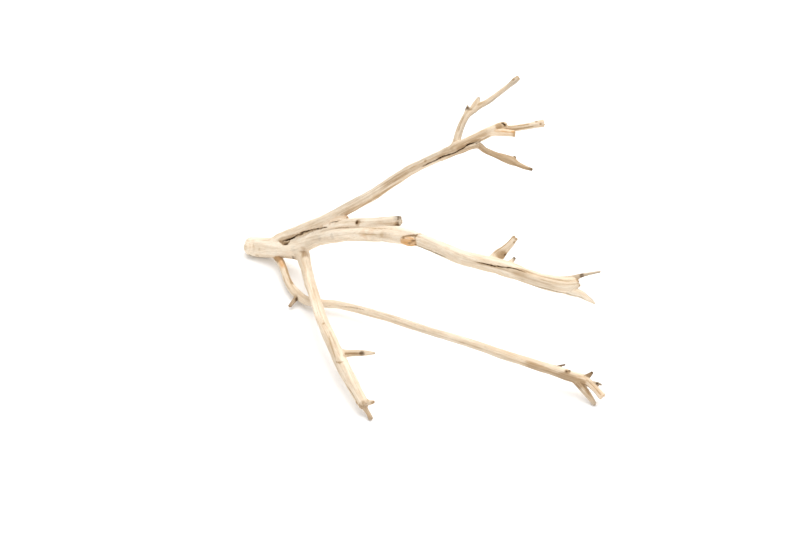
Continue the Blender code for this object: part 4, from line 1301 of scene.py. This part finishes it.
@dataclass(frozen=True)
class TornWood:
    """Fresh fibre where the wood was torn."""

    straw: Colour = (0.72, 0.55, 0.34)
    amber: Colour = (0.50, 0.31, 0.14)

    def material(self) -> bpy.types.Material:
        """Builds the finish."""
        material, bench, shader = new_material("torn_wood")
        place = bench.add("ShaderNodeTexCoord").outputs["Object"]
        patch = bench.noise(place, (260.0, 260.0, 260.0), 3.0)
        colour = bench.blend(bench.fit(patch, 0.35, 0.65), self.straw, self.amber)
        bump = bench.add("ShaderNodeBump", {"Strength": 0.4, "Distance": 0.0001, "Height": patch})
        material.node_tree.links.new(colour, shader.inputs["Base Color"])
        material.node_tree.links.new(bump.outputs[0], shader.inputs["Normal"])
        shader.inputs["Roughness"].default_value = 0.85
        shader.inputs["Specular IOR Level"].default_value = 0.3
        return material


@dataclass(frozen=True)
class Studio:
    """A plain white table, soft light from the upper right and the camera."""

    floor_size: float = 9.0
    floor_colour: Colour = (0.97, 0.97, 0.97)
    surround: Colour = (1.0, 1.0, 1.0)
    surround_strength: float = 0.74
    key_place: Colour = (0.28, 0.6, 1.7)
    key_size: float = 2.2
    key_power: float = 37.5
    fill_place: Colour = (0.2, -1.6, 1.1)
    fill_size: float = 1.6
    fill_power: float = 6.5
    camera_place: Colour = (-0.0135, -1.4264, 1.0867)
    camera_lift: float = 35.0
    lens: float = 70.0
    sensor: float = 36.0

    def floor(self) -> bpy.types.Object:
        """The table under the branch, which isn't part of the object."""
        half = self.floor_size / 2
        mesh = bpy.data.meshes.new("floor")
        mesh.from_pydata([(-half, -half, 0), (half, -half, 0), (half, half, 0), (-half, half, 0)], [], [(0, 1, 2, 3)])
        material, _, shader = new_material("white_table")
        shader.inputs["Base Color"].default_value = (*self.floor_colour, 1.0)
        shader.inputs["Roughness"].default_value = 0.9
        shader.inputs["Specular IOR Level"].default_value = 0.1
        mesh.materials.append(material)
        floor = bpy.data.objects.new("floor", mesh)
        floor.location = (0, 0, -0.05 * MM)
        bpy.context.scene.collection.objects.link(floor)
        return floor

    def lamp(self, name: str, place: Colour, size: float, power: float) -> bpy.types.Object:
        """One soft square lamp that faces the branch."""
        data = bpy.data.lights.new(name, "AREA")
        data.size, data.energy = size, power
        lamp = bpy.data.objects.new(name, data)
        lamp.location = place
        lamp.rotation_euler = (Vector((0, 0, 0.08)) - Vector(place)).to_track_quat("-Z", "Y").to_euler()
        bpy.context.scene.collection.objects.link(lamp)
        return lamp

    def light(self) -> None:
        """Lights the scene, and keeps its colours as they are."""
        self.lamp("key_lamp", self.key_place, self.key_size, self.key_power)
        self.lamp("fill_lamp", self.fill_place, self.fill_size, self.fill_power)
        scene = bpy.context.scene
        scene.world = bpy.data.worlds.new("surround")
        scene.world.use_nodes = True
        surround = scene.world.node_tree.nodes["Background"]
        surround.inputs["Color"].default_value = (*self.surround, 1.0)
        surround.inputs["Strength"].default_value = self.surround_strength
        scene.view_settings.view_transform = "Standard"

    def camera(self) -> bpy.types.Object:
        """The camera at the photograph's place."""
        data = bpy.data.cameras.new("camera")
        data.lens, data.sensor_width = self.lens, self.sensor
        camera = bpy.data.objects.new("camera", data)
        camera.location = self.camera_place
        camera.rotation_euler = Euler((math.radians(90 - self.camera_lift), 0, 0))
        bpy.context.scene.collection.objects.link(camera)
        bpy.context.scene.camera = camera
        return camera


def report(piece: bpy.types.Object) -> None:
    """Logs a finished piece."""
    log.info("%s: %d vertices, %d faces", piece.name, len(piece.data.vertices), len(piece.data.polygons))


def save_sizes(pieces: Iterable[bpy.types.Object]) -> None:
    """Logs each finished piece's vertex and face counts."""
    bpy.context.view_layer.update()
    for piece in pieces:
        report(piece)


def main() -> None:
    """Builds the branch and the studio."""
    logging.basicConfig(level=logging.INFO, format="%(name)s: %(message)s")
    skin = Skin((Trunk(), UpperLimb(), MiddleLimb(), FrontLeg(), LowLimb()))
    branch = skin.build(WeatheredWood().material())
    fibres = TornFibres(skin.limbs).build(TornWood().material())
    studio = Studio()
    studio.floor()
    studio.light()
    studio.camera()
    save_sizes((branch, fibres))


if __name__ == "__main__":
    main()
